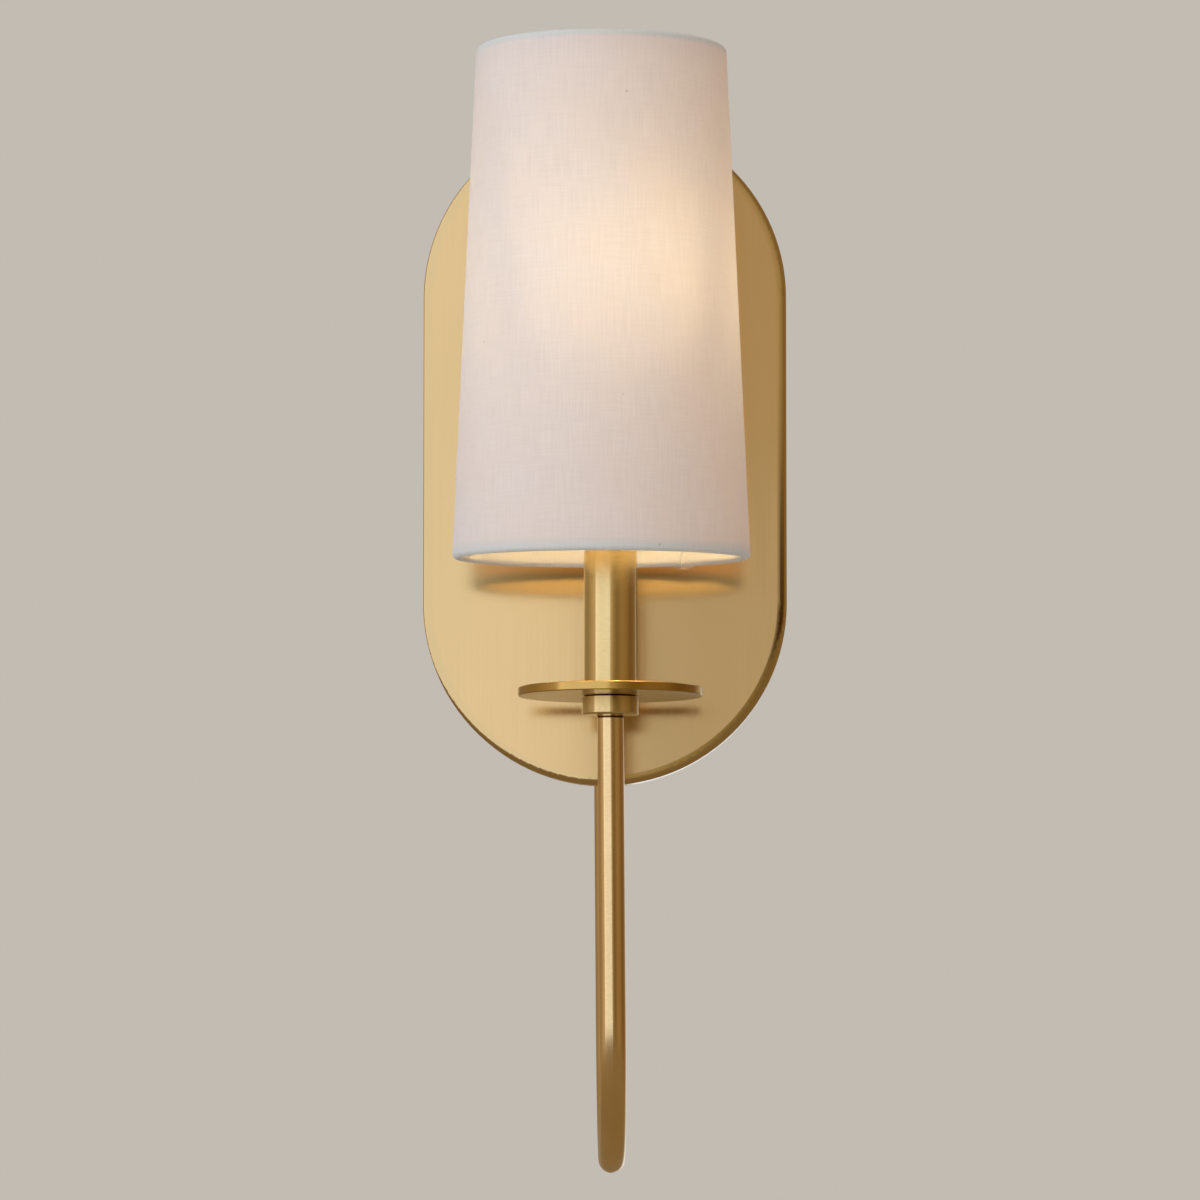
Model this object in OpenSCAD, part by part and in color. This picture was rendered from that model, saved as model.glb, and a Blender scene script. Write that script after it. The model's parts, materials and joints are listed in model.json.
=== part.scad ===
// Wall lamp with a pill-shaped backplate, a J-shaped arm, a candle sleeve and a clip-on fabric shade.
// Millimetres. The origin is on the wall, at the middle of the backplate. +Z is up and -Y faces the room.

/* [Backplate] */
// Width of the backplate
plate_width = 137; // [120:1:160]
// Height of the backplate
plate_height = 253; // [235:1:290]
// How far the backplate's face stands off the wall
plate_depth = 20; // [20:0.5:28]
// Sheet thickness of the backplate
plate_wall = 1.2; // [0.8:0.1:1.6]
// Width of the strip along the rim where the front face falls away
plate_edge_width = 3.6; // [2:0.1:5]
// How far the front face falls away there
plate_edge_drop = 0.9; // [0.5:0.1:1]

/* [Wall straps] */
// Width of both straps
strap_width = 19; // [17:0.5:22]
// Sheet thickness of both straps
strap_thickness = 1.6; // [1.2:0.1:2]
// Length of the strap that is screwed to the outlet box
box_strap_length = 112; // [106:1:118]
// Distance between the two slots for the box screws
box_slot_spacing = 88.9; // [84:0.1:92]
// Width of a slot
slot_width = 4.8; // [4:0.1:6]
// End-to-end length of a slot
slot_length = 12; // [8:0.5:14]
// Length of the strap that carries the lamp
lamp_strap_length = 108; // [102:1:114]
// Outer diameter of the hollow rivet on which the lamp strap turns
rivet_diameter = 10; // [8:0.5:12]
// Bore of the hollow rivet
rivet_bore = 7; // [5:0.5:7]
// Thickness of the rivet's front flange
rivet_flange = 0.8; // [0.6:0.1:1.2]

/* [Plate fasteners] */
// Distance between the two screws that hold the backplate
screw_spacing = 88.9; // [84:0.1:92]
// Thread diameter of those screws
screw_diameter = 4.2; // [3.5:0.1:5]
// Thickness of their heads, behind the lamp strap
screw_head_height = 1.3; // [1:0.1:1.4]
// Width across the flats of the lock nuts
lock_nut_flats = 8; // [7:0.5:9]
// Thickness of the lock nuts
lock_nut_height = 3; // [2:0.25:4]
// Diameter of the domed cap nuts
cap_nut_diameter = 9.5; // [8.5:0.25:10]
// Height of the straight part of a cap nut
cap_nut_skirt = 5; // [5:0.25:7]
// Thread diameter of the grounding screw
ground_screw_diameter = 4.8; // [4:0.1:5.5]
// Distance from the rivet to the grounding screw
ground_screw_offset = 24; // [20:0.5:30]

/* [Arm] */
// Outer diameter of the arm tube
arm_diameter = 9.5; // [9:0.25:11]
// Wall thickness of the arm tube
arm_wall = 1; // [0.8:0.1:1.2]
// Distance from the wall to the middle of the rear leg
rear_leg_out = 10; // [9.5:0.25:11]
// Centre-line radius of the bend
bend_radius = 51; // [45:1:65]
// How far the centre of the bend hangs below the middle of the plate
bend_drop = 213; // [190:1:240]
// Length of the front leg, from the bend to its end in the collar
front_leg_length = 112.4; // [90:0.2:140]
// How far the arm is turned about its rear leg, in degrees
arm_turn = 1.6; // [0:0.2:3]
// How far the arm and its bracket lean sideways, with the bend to the right, in degrees
arm_roll = 0.4; // [0:0.1:1]
// How far the arm's hole sits to the right of the plate's middle
arm_shift = 0.6; // [0:0.1:1.5]
// Height of the inner bracket's shelf above the bottom of the plate
bracket_rise = 17; // [15:0.5:24]
// Sheet thickness of the inner bracket
bracket_thickness = 2; // [1.5:0.1:2.5]
// Width of the inner bracket
bracket_width = 30; // [22:1:34]
// Length of the bracket's flange, which is welded to the plate
bracket_flange = 11; // [8:0.5:13]
// Thickness of the nut on the arm's thread
arm_nut_height = 5; // [4:0.25:6]
// Width across the flats of that nut
arm_nut_flats = 14; // [13:0.25:14.5]
// Thickness of the toothed washer under the nut
arm_washer_height = 1; // [0.8:0.1:1.5]

/* [Disc and collar] */
// Diameter of the disc under the candle
disc_diameter = 66; // [50:0.2:80]
// Thickness of the disc
disc_thickness = 3.1; // [2:0.1:4]
// Diameter of the collar under the disc
collar_diameter = 20.4; // [16:0.2:24]
// Height of the collar
collar_height = 6.8; // [5.6:0.2:9]
// Size of the chamfer under the collar and of the step above it, next to the disc
collar_chamfer = 0.6; // [0.2:0.1:0.8]
// How deep the arm tube sits in the collar
tube_seat = 3; // [2:0.25:3.5]
// How far the collar and the candle lean back towards the wall, in degrees
candle_lean = 2; // [0:0.25:3]

/* [Candle] */
// Diameter of the candle sleeve
sleeve_diameter = 19.05; // [18.5:0.05:21]
// Wall thickness of the candle sleeve
sleeve_wall = 0.8; // [0.6:0.05:0.9]
// Length of the candle sleeve
sleeve_length = 101.6; // [90:0.2:115]
// Thread diameter of the hollow nipple
nipple_diameter = 8; // [7.5:0.1:8.4]
// Bore of the nipple
nipple_bore = 5.2; // [5:0.1:5.6]
// Width across the flats of the nut on the nipple
nipple_nut_flats = 11.5; // [10.5:0.25:11.75]
// Thickness of the nut on the nipple
nipple_nut_height = 4; // [3:0.25:5]
// Sheet thickness of the socket's bracket
hickey_thickness = 1.2; // [0.8:0.1:1.3]
// Width of the bracket's upright
hickey_width = 8; // [6:0.5:8]

/* [Socket] */
// Diameter of the socket's body
socket_diameter = 15.6; // [15:0.1:16]
// Height of the socket's body
socket_height = 30; // [28:0.5:34]
// Thickness of the socket's floor
socket_floor = 8; // [7.5:0.25:8.5]
// Sheet thickness of the socket's screw shell
socket_shell_wall = 0.4; // [0.3:0.05:0.5]
// How far the socket's rim stays below the top of the sleeve
socket_set_down = 1.6; // [0.8:0.1:2.4]

/* [Bulb] */
// Thread diameter of the bulb's base
bulb_base_diameter = 11.7; // [11.5:0.05:11.9]
// Height of the bulb's screw shell
bulb_shell_height = 16; // [15:0.5:17]
// Largest diameter of the glass
bulb_diameter = 35; // [32:0.5:37]
// Height of the glass from the shell to its widest level
bulb_belly_height = 20.4; // [19:0.2:23]
// Radius of the long curve from the widest level to the tip
bulb_taper_radius = 86; // [78:1:95]
// Radius of the curve from the widest level down to the neck
bulb_shoulder_radius = 22; // [20.5:0.25:23]
// Radius of the glass at its tip
bulb_tip_radius = 3; // [2:0.25:4]
// Wall thickness of the glass
glass_wall = 0.6; // [0.4:0.05:1]
// Diameter of one light filament
filament_diameter = 1.8; // [1.4:0.1:2.2]
// Length of one light filament
filament_length = 34; // [28:1:36]
// Distance of the filaments from the bulb's axis
filament_circle_radius = 4.2; // [3.4:0.1:4.6]

/* [Shade] */
// Diameter at the shade's bottom edge
shade_bottom_diameter = 107; // [100:0.2:125]
// Diameter at the shade's top edge
shade_top_diameter = 90.2; // [84:0.2:100]
// Height of the shade
shade_height = 184.5; // [170:0.5:200]
// Thickness of the linen cover
cover_thickness = 0.6; // [0.4:0.05:0.9]
// Thickness of the stiff liner
liner_thickness = 0.4; // [0.3:0.05:0.6]
// Wire diameter of the two rings
ring_wire = 2.2; // [1.8:0.1:2.6]
// Wire diameter of the cross wire
cross_wire = 2.4; // [2:0.1:2.8]
// Wire diameter of the clip that holds the bulb
clip_wire = 2; // [1.6:0.1:2.4]
// Height of the top ring above the cross wire
cross_wire_drop = 41; // [32:0.5:50]
// Height of the cross wire above the bulb's tip
cross_wire_rise = 15.5; // [10:0.5:20]
// Angle at which the cross wire's ends rise to the ring, in degrees
cross_wire_angle = 56; // [50:1:62]
// Radius of the lower, wide end of a clip loop
clip_wide_radius = 14; // [12.5:0.25:15.5]
// Radius of the upper, narrow end of a clip loop
clip_narrow_radius = 5; // [3.5:0.25:6]
// How far the shade tips forward from upright, in degrees
shade_tip = 0.5; // [0:0.1:2]
// How far the shade sits to the left of the candle
shade_shift = 3.25; // [0:0.25:4]
// How far the clip and the cross wire are turned about the candle, in degrees
clip_turn = 10; // [-20:1:20]

/* [Leads] */
// Outer diameter of an insulated lead
lead_diameter = 2; // [1.8:0.1:2.1]
// Diameter of the bare grounding wire
ground_wire_diameter = 1.6; // [1.2:0.1:1.8]
// Diameter of a wire connector at its mouth
connector_diameter = 9; // [8:0.25:9.5]
// Length of a wire connector
connector_length = 16; // [14:0.5:20]

/* [Hidden] */
$fn = 96;

// Clearances: a seat within one body, a leaning seat, a turning fit, a moving gap, a drilled hole
seat = 0.05;
lean_seat = 0.2;
turning_fit = 0.05;
moving_gap = 0.3;
hole_play = 0.4;
// A bend and a straight wire meet in a bead this much fatter than the wire, a short step apart
bead = 0.04;
bead_step = 0.1;
// Overlap that makes a cut run clear of a face
cut = 1;

// Straight slots for a screwdriver in the screw heads
driver_slot_width = 1;
driver_slot_depth = 0.6;

// Smallest radius inside a corner of the pressed plate
sheet_corner_radius = 0.3;

// Wall straps, as distances from the wall
lamp_strap_back = strap_thickness + moving_gap;
lamp_strap_front = lamp_strap_back + strap_thickness;
rivet_countersink = 1.2;
rivet_overhang = 2;
screw_head_diameter = 2 * screw_diameter;
screw_point = plate_depth + cap_nut_skirt;
ground_head_height = 2.4;
ground_hook_radius = (ground_screw_diameter + ground_wire_diameter) / 2 + 2 * seat;
ground_wire_out = lamp_strap_front + ground_wire_diameter / 2;

// Arm and what holds it
plate_bottom = -plate_height / 2;
shelf_top = plate_bottom + bracket_rise;
shelf_margin = 2.5;
// How far a threaded end stands out past its nut
thread_end = 2;
arm_top = shelf_top + arm_washer_height + arm_nut_height + thread_end;
washer_rim = 0.5;
washer_teeth = 12;
washer_notch = 1.6;
bushing_flange = 1;
bushing_length = 5;
bushing_wall = 0.8;
arm_bore = arm_diameter - 2 * arm_wall;

// Heights along the candle's axis, from the underside of the disc
tube_end = tube_seat - collar_height;
nipple_top = disc_thickness + hickey_thickness + nipple_nut_height + thread_end;
sleeve_top = disc_thickness + sleeve_length;
sleeve_bore = sleeve_diameter - 2 * sleeve_wall;
socket_top = sleeve_top - socket_set_down;
socket_base = socket_top - socket_height;
socket_inside = socket_base + socket_floor;
terminal_offset = 6;
terminal_depth = 4;
hickey_back = sleeve_bore / 2 - 1.3;
hickey_foot_diameter = sleeve_bore - 1;
hickey_foot_margin = 2;
socket_screw_diameter = 3;
socket_screw_head = 1.8;
socket_screw_head_diameter = 5.5;
socket_screw_reach = socket_floor - 3;
bulb_thread_play = 0.15;
socket_shell_bore = bulb_base_diameter + 2 * bulb_thread_play;
socket_shell_diameter = socket_shell_bore + 2 * socket_shell_wall;
socket_shell_hole = 8;
contact_sheet = 0.5;
contact_base_diameter = 5;
contact_tongue_width = 3;
contact_pad_diameter = 4;
contact_gap = 0.2;

// Bulb, along the same axis
bulb_stand_out = 0.9;
bulb_shell_top = sleeve_top + bulb_stand_out;
bulb_shell_base = bulb_shell_top - bulb_shell_height;
bulb_shell_wall = 0.3;
bulb_thread_depth = 0.4;
bulb_thread_pitch = 2.54;
bulb_rib_radius = 0.7;
bulb_rib_margin = 2;
bulb_core_radius = bulb_base_diameter / 2 - bulb_thread_depth;
insulator_height = 3;
insulator_top_diameter = bulb_base_diameter - 2;
insulator_tip_diameter = 5.8;
bulb_contact_height = 1.2;
bulb_contact_diameter = 4.8;
bulb_contact_tip = 3;
bulb_contact_base = bulb_shell_base - insulator_height - bulb_contact_height;
bulb_radius = bulb_diameter / 2;
bulb_neck_radius = bulb_core_radius - bulb_shell_wall - 2 * seat;
neck_length = 6;
bulb_belly = bulb_shell_top + bulb_belly_height;
taper_centre = bulb_radius - bulb_taper_radius;
tip_centre = sqrt(pow(bulb_taper_radius - bulb_tip_radius, 2) - pow(taper_centre, 2));
bulb_tip = bulb_belly + tip_centre + bulb_tip_radius;
stem_height = 21.5;
stem_radius = 2.5;
stem_tip_radius = 1.6;
stem_tip_height = 1;
stem_top = bulb_shell_top + stem_height;
support_wire = 0.6;
filament_lift = 4;
filament_base = stem_top + filament_lift;
filaments = 4;

// Leads
lead_gap = 0.3;
lead_offset = (lead_diameter + lead_gap) / 2;
lead_step_lift = 3;
lead_step_base = arm_top + bushing_flange + lead_step_lift;
lead_step_radius = 8;
connector_step_angle = 30;
connector_gap = 3;
connector_spread = (connector_diameter + connector_gap) / 2;
connector_step = connector_spread - lead_offset;
connector_lift = 38;
connector_base = arm_top + connector_lift;
connector_bore_depth = 10;
connector_skirt = connector_length / 4;
connector_tip_diameter = connector_diameter * 0.6;
socket_step_angle = 20;
socket_step = terminal_offset - lead_offset;
socket_step_lift = 2;
socket_step_base = nipple_top + socket_step_lift;
socket_step_rise = step_rise(lead_step_radius, socket_step_angle, socket_step);
lead_end = socket_base + terminal_depth - seat;
ground_drop = 20;
ground_step_out = 5;
ground_step_angle = 30;

// Shade, from the cross wire
cross_height = bulb_tip + cross_wire_rise;
hem_radius = ring_wire / 2 + seat + cover_thickness;
shade_top = cross_wire_drop + hem_radius;
shade_bottom = shade_top - shade_height;
bottom_ring_height = shade_bottom + hem_radius;
flare = (shade_bottom_diameter - shade_top_diameter) / 2 / shade_height;
top_ring_radius = shade_radius(cross_wire_drop) - hem_radius;
bottom_ring_radius = shade_radius(bottom_ring_height) - hem_radius;
cross_bend_radius = 5;
cross_rise_length = (cross_wire_drop - cross_bend_radius * (1 - cos(cross_wire_angle)))
  / sin(cross_wire_angle);
cross_flat_length = top_ring_radius - cross_bend_radius * sin(cross_wire_angle)
  - cross_rise_length * cos(cross_wire_angle);
weld_depth = 0.3;
clip_top_offset = (cross_wire + clip_wire) / 2 - weld_depth;
clip_drop = cross_height - bulb_belly;
clip_bottom_offset = bulb_radius + moving_gap + clip_wire / 2;
clip_slope = atan2(clip_bottom_offset - clip_top_offset, clip_drop);
clip_length = clip_drop / cos(clip_slope);

// Outer radius of the shade at a height above the cross wire
function shade_radius(height) = shade_top_diameter / 2 + flare * (shade_top - height);

// Frames
// Local x, y, z are the room's right, up and the distance out from the wall
module on_wall() {
  rotate([90, 0, 0])
    children();
}

// The plate's own axes, leaned and moved as the bracket is
module bracket_frame() {
  translate([arm_shift, 0, plate_bottom])
    rotate([0, -arm_roll, 0])
      translate([0, 0, -plate_bottom])
        children();
}

// The middle of the rear leg is this frame's z axis
module arm_frame() {
  bracket_frame()
    translate([0, -rear_leg_out, 0])
      rotate([0, 0, arm_turn])
        children();
}

// The candle's axis is z, and the underside of the disc is at zero
module candle_frame() {
  arm_frame()
    candle_on_arm()
      children();
}

// The same frame, seen from the arm's: the candle doesn't share the arm's sideways lean
module candle_on_arm() {
  translate([0, -2 * bend_radius, front_leg_length - bend_drop])
    rotate([0, 0, -arm_turn])
      rotate([0, arm_roll, 0])
        rotate([-candle_lean, 0, arm_turn])
          translate([0, 0, -tube_end])
            children();
}

// The clip's own frame: the cross wire crosses the candle's axis at zero, along x
module clip_frame() {
  candle_frame()
    translate([0, 0, cross_height])
      rotate([0, 0, clip_turn])
        children();
}

// The shade's axis is z, and the cross wire is at zero
module shade_frame() {
  candle_frame()
    translate([0, 0, cross_height])
      rotate([candle_lean + shade_tip, 0, 0])
        rotate([0, 0, clip_turn])
          translate([-shade_shift, 0, 0])
            children();
}

// Shared shapes
// Straight stretch of wire along z, with what follows at its end
module run(diameter, length) {
  translate([0, 0, bead_step])
    cylinder(d = diameter, h = length - 2 * bead_step);
  translate([0, 0, length])
    children();
}

// Bend of a wire from z towards x, with what follows at its end
module bend(diameter, radius, angle) {
  sphere(d = diameter + bead);
  translate([radius, 0, 0])
    rotate([90, 0, 0])
      rotate([0, 0, 180 - angle])
        rotate_extrude(angle = angle)
          translate([radius, 0])
            circle(d = diameter);
  translate([radius * (1 - cos(angle)), 0, radius * sin(angle)])
    rotate([0, angle, 0]) {
      sphere(d = diameter + bead);
      children();
    }
}

// Double bend that moves a wire sideways towards x and lets it go on along z
module side_step(diameter, radius, angle, shift) {
  bend(diameter, radius, angle)
    run(diameter, (shift - 2 * radius * (1 - cos(angle))) / sin(angle))
      mirror([1, 0, 0])
        bend(diameter, radius, angle)
          children();
}

// Height that such a double bend takes
function step_rise(radius, angle, shift) =
  2 * radius * sin(angle) + (shift - 2 * radius * (1 - cos(angle))) / tan(angle);

// Round rod along the arm's centre line, between a height on the rear leg and the front leg's end
module arm_run(diameter, rear_top, front_extra) {
  translate([0, 0, -bend_drop])
    cylinder(d = diameter, h = rear_top + bend_drop);
  translate([0, -bend_radius, -bend_drop])
    rotate([90, 0, 90])
      rotate([0, 0, 180])
        rotate_extrude(angle = 180)
          translate([bend_radius, 0])
            circle(d = diameter);
  translate([0, -2 * bend_radius, -bend_drop])
    cylinder(d = diameter, h = front_leg_length + front_extra);
}

// Tube along z
module tube(outer, inner, height) {
  difference() {
    cylinder(d = outer, h = height);
    translate([0, 0, -cut])
      cylinder(d = inner, h = height + 2 * cut);
  }
}

// Hexagonal nut along z, with two flats square to y
module hex_nut(flats, bore, height) {
  difference() {
    cylinder(d = flats / cos(30), h = height, $fn = 6);
    translate([0, 0, -cut])
      cylinder(d = bore, h = height + 2 * cut);
  }
}

// Flat strap with round ends along x
module strap_blank(length) {
  translate([-(length - strap_width) / 2, -strap_width / 2, 0])
    cube([length - strap_width, strap_width, strap_thickness]);
  for (side = [-1, 1])
    translate([side * (length - strap_width) / 2, 0, 0])
      cylinder(d = strap_width, h = strap_thickness);
}

// Slot along x, cut clear of both faces of a strap
module slot_cut() {
  translate([-(slot_length - slot_width) / 2, -slot_width / 2, -cut])
    cube([slot_length - slot_width, slot_width, strap_thickness + 2 * cut]);
  for (side = [-1, 1])
    translate([side * (slot_length - slot_width) / 2, 0, -cut])
      cylinder(d = slot_width, h = strap_thickness + 2 * cut);
}

// Driver slot, cut up into a screw head of a given diameter whose face is at zero
module driver_slot(head_diameter) {
  translate([-driver_slot_width / 2, -head_diameter / 2 - cut, -cut])
    cube([driver_slot_width, head_diameter + 2 * cut, driver_slot_depth + cut]);
}

// Places something at both plate screws
module at_plate_screws() {
  on_wall()
    for (side = [-1, 1])
      translate([side * screw_spacing / 2, 0, 0])
        children();
}

// Wall straps
module box_strap() {
  color("silver")
    on_wall()
      difference() {
        rotate([0, 0, 90])
          strap_blank(box_strap_length);
        for (side = [-1, 1])
          translate([0, side * box_slot_spacing / 2, 0])
            rotate([0, 0, 90])
              slot_cut();
        translate([0, 0, -cut])
          cylinder(d = rivet_diameter + 2 * seat, h = strap_thickness + 2 * cut);
        cylinder(
          d1 = rivet_diameter + 2 * rivet_countersink + 2 * seat,
          d2 = rivet_diameter + 2 * seat,
          h = rivet_countersink
        );
      }
}

module swivel_rivet() {
  flange_base = lamp_strap_front + turning_fit;
  color("gainsboro")
    on_wall()
      difference() {
        union() {
          cylinder(d = rivet_diameter, h = flange_base + rivet_flange);
          cylinder(
            d1 = rivet_diameter + 2 * rivet_countersink,
            d2 = rivet_diameter,
            h = rivet_countersink
          );
          translate([0, 0, flange_base])
            cylinder(d = rivet_diameter + 2 * rivet_overhang, h = rivet_flange);
        }
        translate([0, 0, -cut])
          cylinder(d = rivet_bore, h = plate_depth);
      }
}

module lamp_strap() {
  color("silver")
    on_wall()
      translate([0, 0, lamp_strap_back])
        difference() {
          strap_blank(lamp_strap_length);
          translate([0, 0, -cut])
            cylinder(d = rivet_diameter + 2 * turning_fit, h = strap_thickness + 2 * cut);
          for (side = [-1, 1])
            translate([side * screw_spacing / 2, 0, -cut])
              cylinder(d = screw_diameter + 2 * seat, h = strap_thickness + 2 * cut);
          translate([-ground_screw_offset, 0, -cut])
            cylinder(d = ground_screw_diameter + 2 * seat, h = strap_thickness + 2 * cut);
        }
}

module plate_screws() {
  color("gainsboro")
    at_plate_screws() {
      translate([0, 0, lamp_strap_back - screw_head_height])
        difference() {
          cylinder(d = screw_head_diameter, h = screw_head_height);
          driver_slot(screw_head_diameter);
        }
      translate([0, 0, lamp_strap_back])
        cylinder(d = screw_diameter, h = screw_point - lamp_strap_back);
    }
}

module lock_nuts() {
  color("gainsboro")
    at_plate_screws()
      translate([0, 0, lamp_strap_front])
        hex_nut(lock_nut_flats, screw_diameter + 2 * seat, lock_nut_height);
}

module grounding_screw() {
  head_base = lamp_strap_front + ground_wire_diameter;
  head_diameter = 2 * ground_screw_diameter / cos(30);
  color("green")
    on_wall()
      translate([-ground_screw_offset, 0, 0]) {
        translate([0, 0, lamp_strap_back - 1])
          cylinder(d = ground_screw_diameter, h = head_base - lamp_strap_back + 1);
        translate([0, 0, head_base])
          difference() {
            cylinder(d = head_diameter, h = ground_head_height, $fn = 6);
            translate([0, 0, ground_head_height])
              mirror([0, 0, 1])
                driver_slot(head_diameter);
          }
      }
}

// Backplate
// Half section of the plate's outside, set in by a distance and carried on behind the wall's plane;
// its rim is a quarter of an ellipse
module plate_section(inset, behind, edge_width, edge_drop) {
  half_width = plate_width / 2 - inset;
  depth = plate_depth - inset;
  translate([0, -behind]) {
    square([half_width - edge_width, behind + depth]);
    square([half_width, behind + depth - edge_drop]);
  }
  translate([half_width - edge_width, depth - edge_drop])
    scale([edge_width / edge_drop, 1])
      circle(r = edge_drop);
}

// Pill-shaped block with that section
module plate_block(inset, behind, edge_width, edge_drop) {
  straight = (plate_height - plate_width) / 2;
  for (end = [0, 180])
    rotate([0, 0, end])
      translate([0, straight, 0])
        rotate_extrude(angle = 180)
          plate_section(inset, behind, edge_width, edge_drop);
  translate([0, straight, 0])
    rotate([90, 0, 0])
      linear_extrude(2 * straight) {
        plate_section(inset, behind, edge_width, edge_drop);
        mirror([1, 0])
          plate_section(inset, behind, edge_width, edge_drop);
      }
}

module backplate() {
  color("burlywood")
    difference() {
      on_wall()
        difference() {
          plate_block(0, 0, plate_edge_width, plate_edge_drop);
          plate_block(plate_wall, cut, sheet_corner_radius, sheet_corner_radius);
        }
      at_plate_screws()
        translate([0, 0, plate_depth - plate_wall - cut])
          cylinder(d = screw_diameter + 2 * hole_play, h = plate_wall + 2 * cut);
      arm_frame()
        translate([0, 0, plate_bottom - cut])
          cylinder(d = arm_diameter + hole_play, h = bracket_rise / 2);
    }
}

module cap_nuts() {
  radius = cap_nut_diameter / 2;
  color("goldenrod")
    at_plate_screws()
      translate([0, 0, plate_depth])
        difference() {
          union() {
            cylinder(r = radius, h = cap_nut_skirt);
            translate([0, 0, cap_nut_skirt])
              sphere(r = radius);
          }
          translate([0, 0, -cut])
            cylinder(d = screw_diameter + 2 * seat, h = cap_nut_skirt + cut + seat);
        }
}

// Arm and its fixing
module arm_bracket() {
  inner_face = plate_depth - plate_wall;
  shelf_back = rear_leg_out - arm_diameter / 2 - shelf_margin;
  color("silver")
    difference() {
      bracket_frame()
        on_wall()
          translate([-bracket_width / 2, shelf_top, 0]) {
            translate([0, -bracket_thickness, shelf_back])
              cube([bracket_width, bracket_thickness, inner_face - shelf_back]);
            translate([0, -bracket_flange, inner_face - bracket_thickness])
              cube([bracket_width, bracket_flange, bracket_thickness]);
          }
      arm_frame()
        translate([0, 0, shelf_top - bracket_thickness - cut])
          cylinder(d = arm_diameter + 2 * seat, h = bracket_thickness + 2 * cut);
    }
}

module arm_tube() {
  color("peru")
    arm_frame()
      difference() {
        arm_run(arm_diameter, arm_top, 0);
        arm_run(arm_bore, arm_top + cut, cut);
      }
}

module arm_washer() {
  outer = arm_nut_flats + 2 * washer_rim;
  color("gainsboro")
    arm_frame()
      translate([0, 0, shelf_top])
        difference() {
          cylinder(d = outer, h = arm_washer_height);
          translate([0, 0, -cut])
            cylinder(d = arm_diameter + 2 * seat, h = arm_washer_height + 2 * cut);
          for (tooth = [0 : washer_teeth - 1])
            rotate([0, 0, tooth * 360 / washer_teeth])
              translate([outer / 2, 0, -cut])
                cylinder(d = washer_notch, h = arm_washer_height + 2 * cut);
        }
}

module arm_nut() {
  color("goldenrod")
    arm_frame()
      translate([0, 0, shelf_top + arm_washer_height])
        hex_nut(arm_nut_flats, arm_diameter + 2 * seat, arm_nut_height);
}

module tube_bushing() {
  bore = arm_bore - 2 * seat - 2 * bushing_wall;
  color("dimgray")
    arm_frame() {
      translate([0, 0, arm_top])
        tube(arm_diameter, bore, bushing_flange);
      translate([0, 0, arm_top - bushing_length])
        tube(arm_bore - 2 * seat, bore, bushing_length);
    }
}

// Leads
// Lead from its connector to the socket's terminal: 0 on the right of the arm's middle, 1 on the left
module lead(side) {
  lead_tail = connector_base + connector_bore_depth - lead_step_base;
  mirror([side, 0, 0])
    translate([lead_offset, 0, 0]) {
      arm_run(lead_diameter, lead_step_base, 0);
      translate([0, 0, lead_step_base])
        side_step(lead_diameter, lead_step_radius, connector_step_angle, connector_step)
          run(lead_diameter, lead_tail - step_rise(lead_step_radius, connector_step_angle, connector_step));
    }
  candle_on_arm()
    mirror([side, 0, 0])
      translate([lead_offset, 0, tube_end]) {
        sphere(d = lead_diameter + bead);
        run(lead_diameter, socket_step_base - tube_end)
          side_step(lead_diameter, lead_step_radius, socket_step_angle, socket_step)
            run(lead_diameter, lead_end - socket_step_base - socket_step_rise);
      }
}

module hot_lead() {
  color("black")
    arm_frame()
      lead(0);
}

module neutral_lead() {
  color("white")
    arm_frame()
      lead(1);
}

// Bare copper wire, hooked under the grounding screw and led down to its connector
module grounding_lead() {
  hook = 270;
  color("chocolate")
    on_wall()
      translate([-ground_screw_offset, 0, ground_wire_out]) {
        rotate([0, 0, 180 - hook])
          rotate_extrude(angle = hook)
            translate([ground_hook_radius, 0])
              circle(d = ground_wire_diameter);
        translate([-ground_hook_radius, 0, 0]) {
          sphere(d = ground_wire_diameter + bead);
          rotate([90, 0, 0])
            rotate([0, 0, 90])
              run(ground_wire_diameter, ground_drop)
                side_step(ground_wire_diameter, lead_step_radius, ground_step_angle, ground_step_out)
                  run(ground_wire_diameter, connector_bore_depth);
        }
      }
}

// Twist-on connector along z, with its mouth at zero
module connector(bore) {
  difference() {
    union() {
      cylinder(d = connector_diameter, h = connector_skirt);
      translate([0, 0, connector_skirt])
        cylinder(
          d1 = connector_diameter,
          d2 = connector_tip_diameter,
          h = connector_length - connector_skirt
        );
    }
    translate([0, 0, -cut])
      cylinder(d = bore + 2 * seat, h = connector_bore_depth + cut);
  }
}

module wire_connectors() {
  color("darkorange") {
    arm_frame()
      for (side = [-1, 1])
        translate([side * connector_spread, 0, connector_base])
          connector(lead_diameter);
    on_wall()
      translate([
        -ground_screw_offset - ground_hook_radius,
        -ground_drop - step_rise(lead_step_radius, ground_step_angle, ground_step_out),
        ground_wire_out + ground_step_out
      ])
        rotate([90, 0, 0])
          connector(ground_wire_diameter);
  }
}

// Candle and socket
module arm_collar() {
  radius = collar_diameter / 2;
  color("peru")
    candle_frame()
      difference() {
        translate([0, 0, -collar_height])
          rotate_extrude()
            polygon([
              [0, 0],
              [radius - collar_chamfer, 0],
              [radius, collar_chamfer],
              [radius, collar_height - collar_chamfer],
              [radius - collar_chamfer, collar_height - collar_chamfer],
              [radius - collar_chamfer, collar_height],
              [0, collar_height]
            ]);
        translate([0, 0, -collar_height - cut])
          cylinder(d = arm_diameter + 2 * lean_seat, h = tube_seat + cut + lean_seat);
        translate([0, 0, -collar_height])
          cylinder(d = nipple_diameter + 2 * seat, h = collar_height + cut);
      }
}

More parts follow.
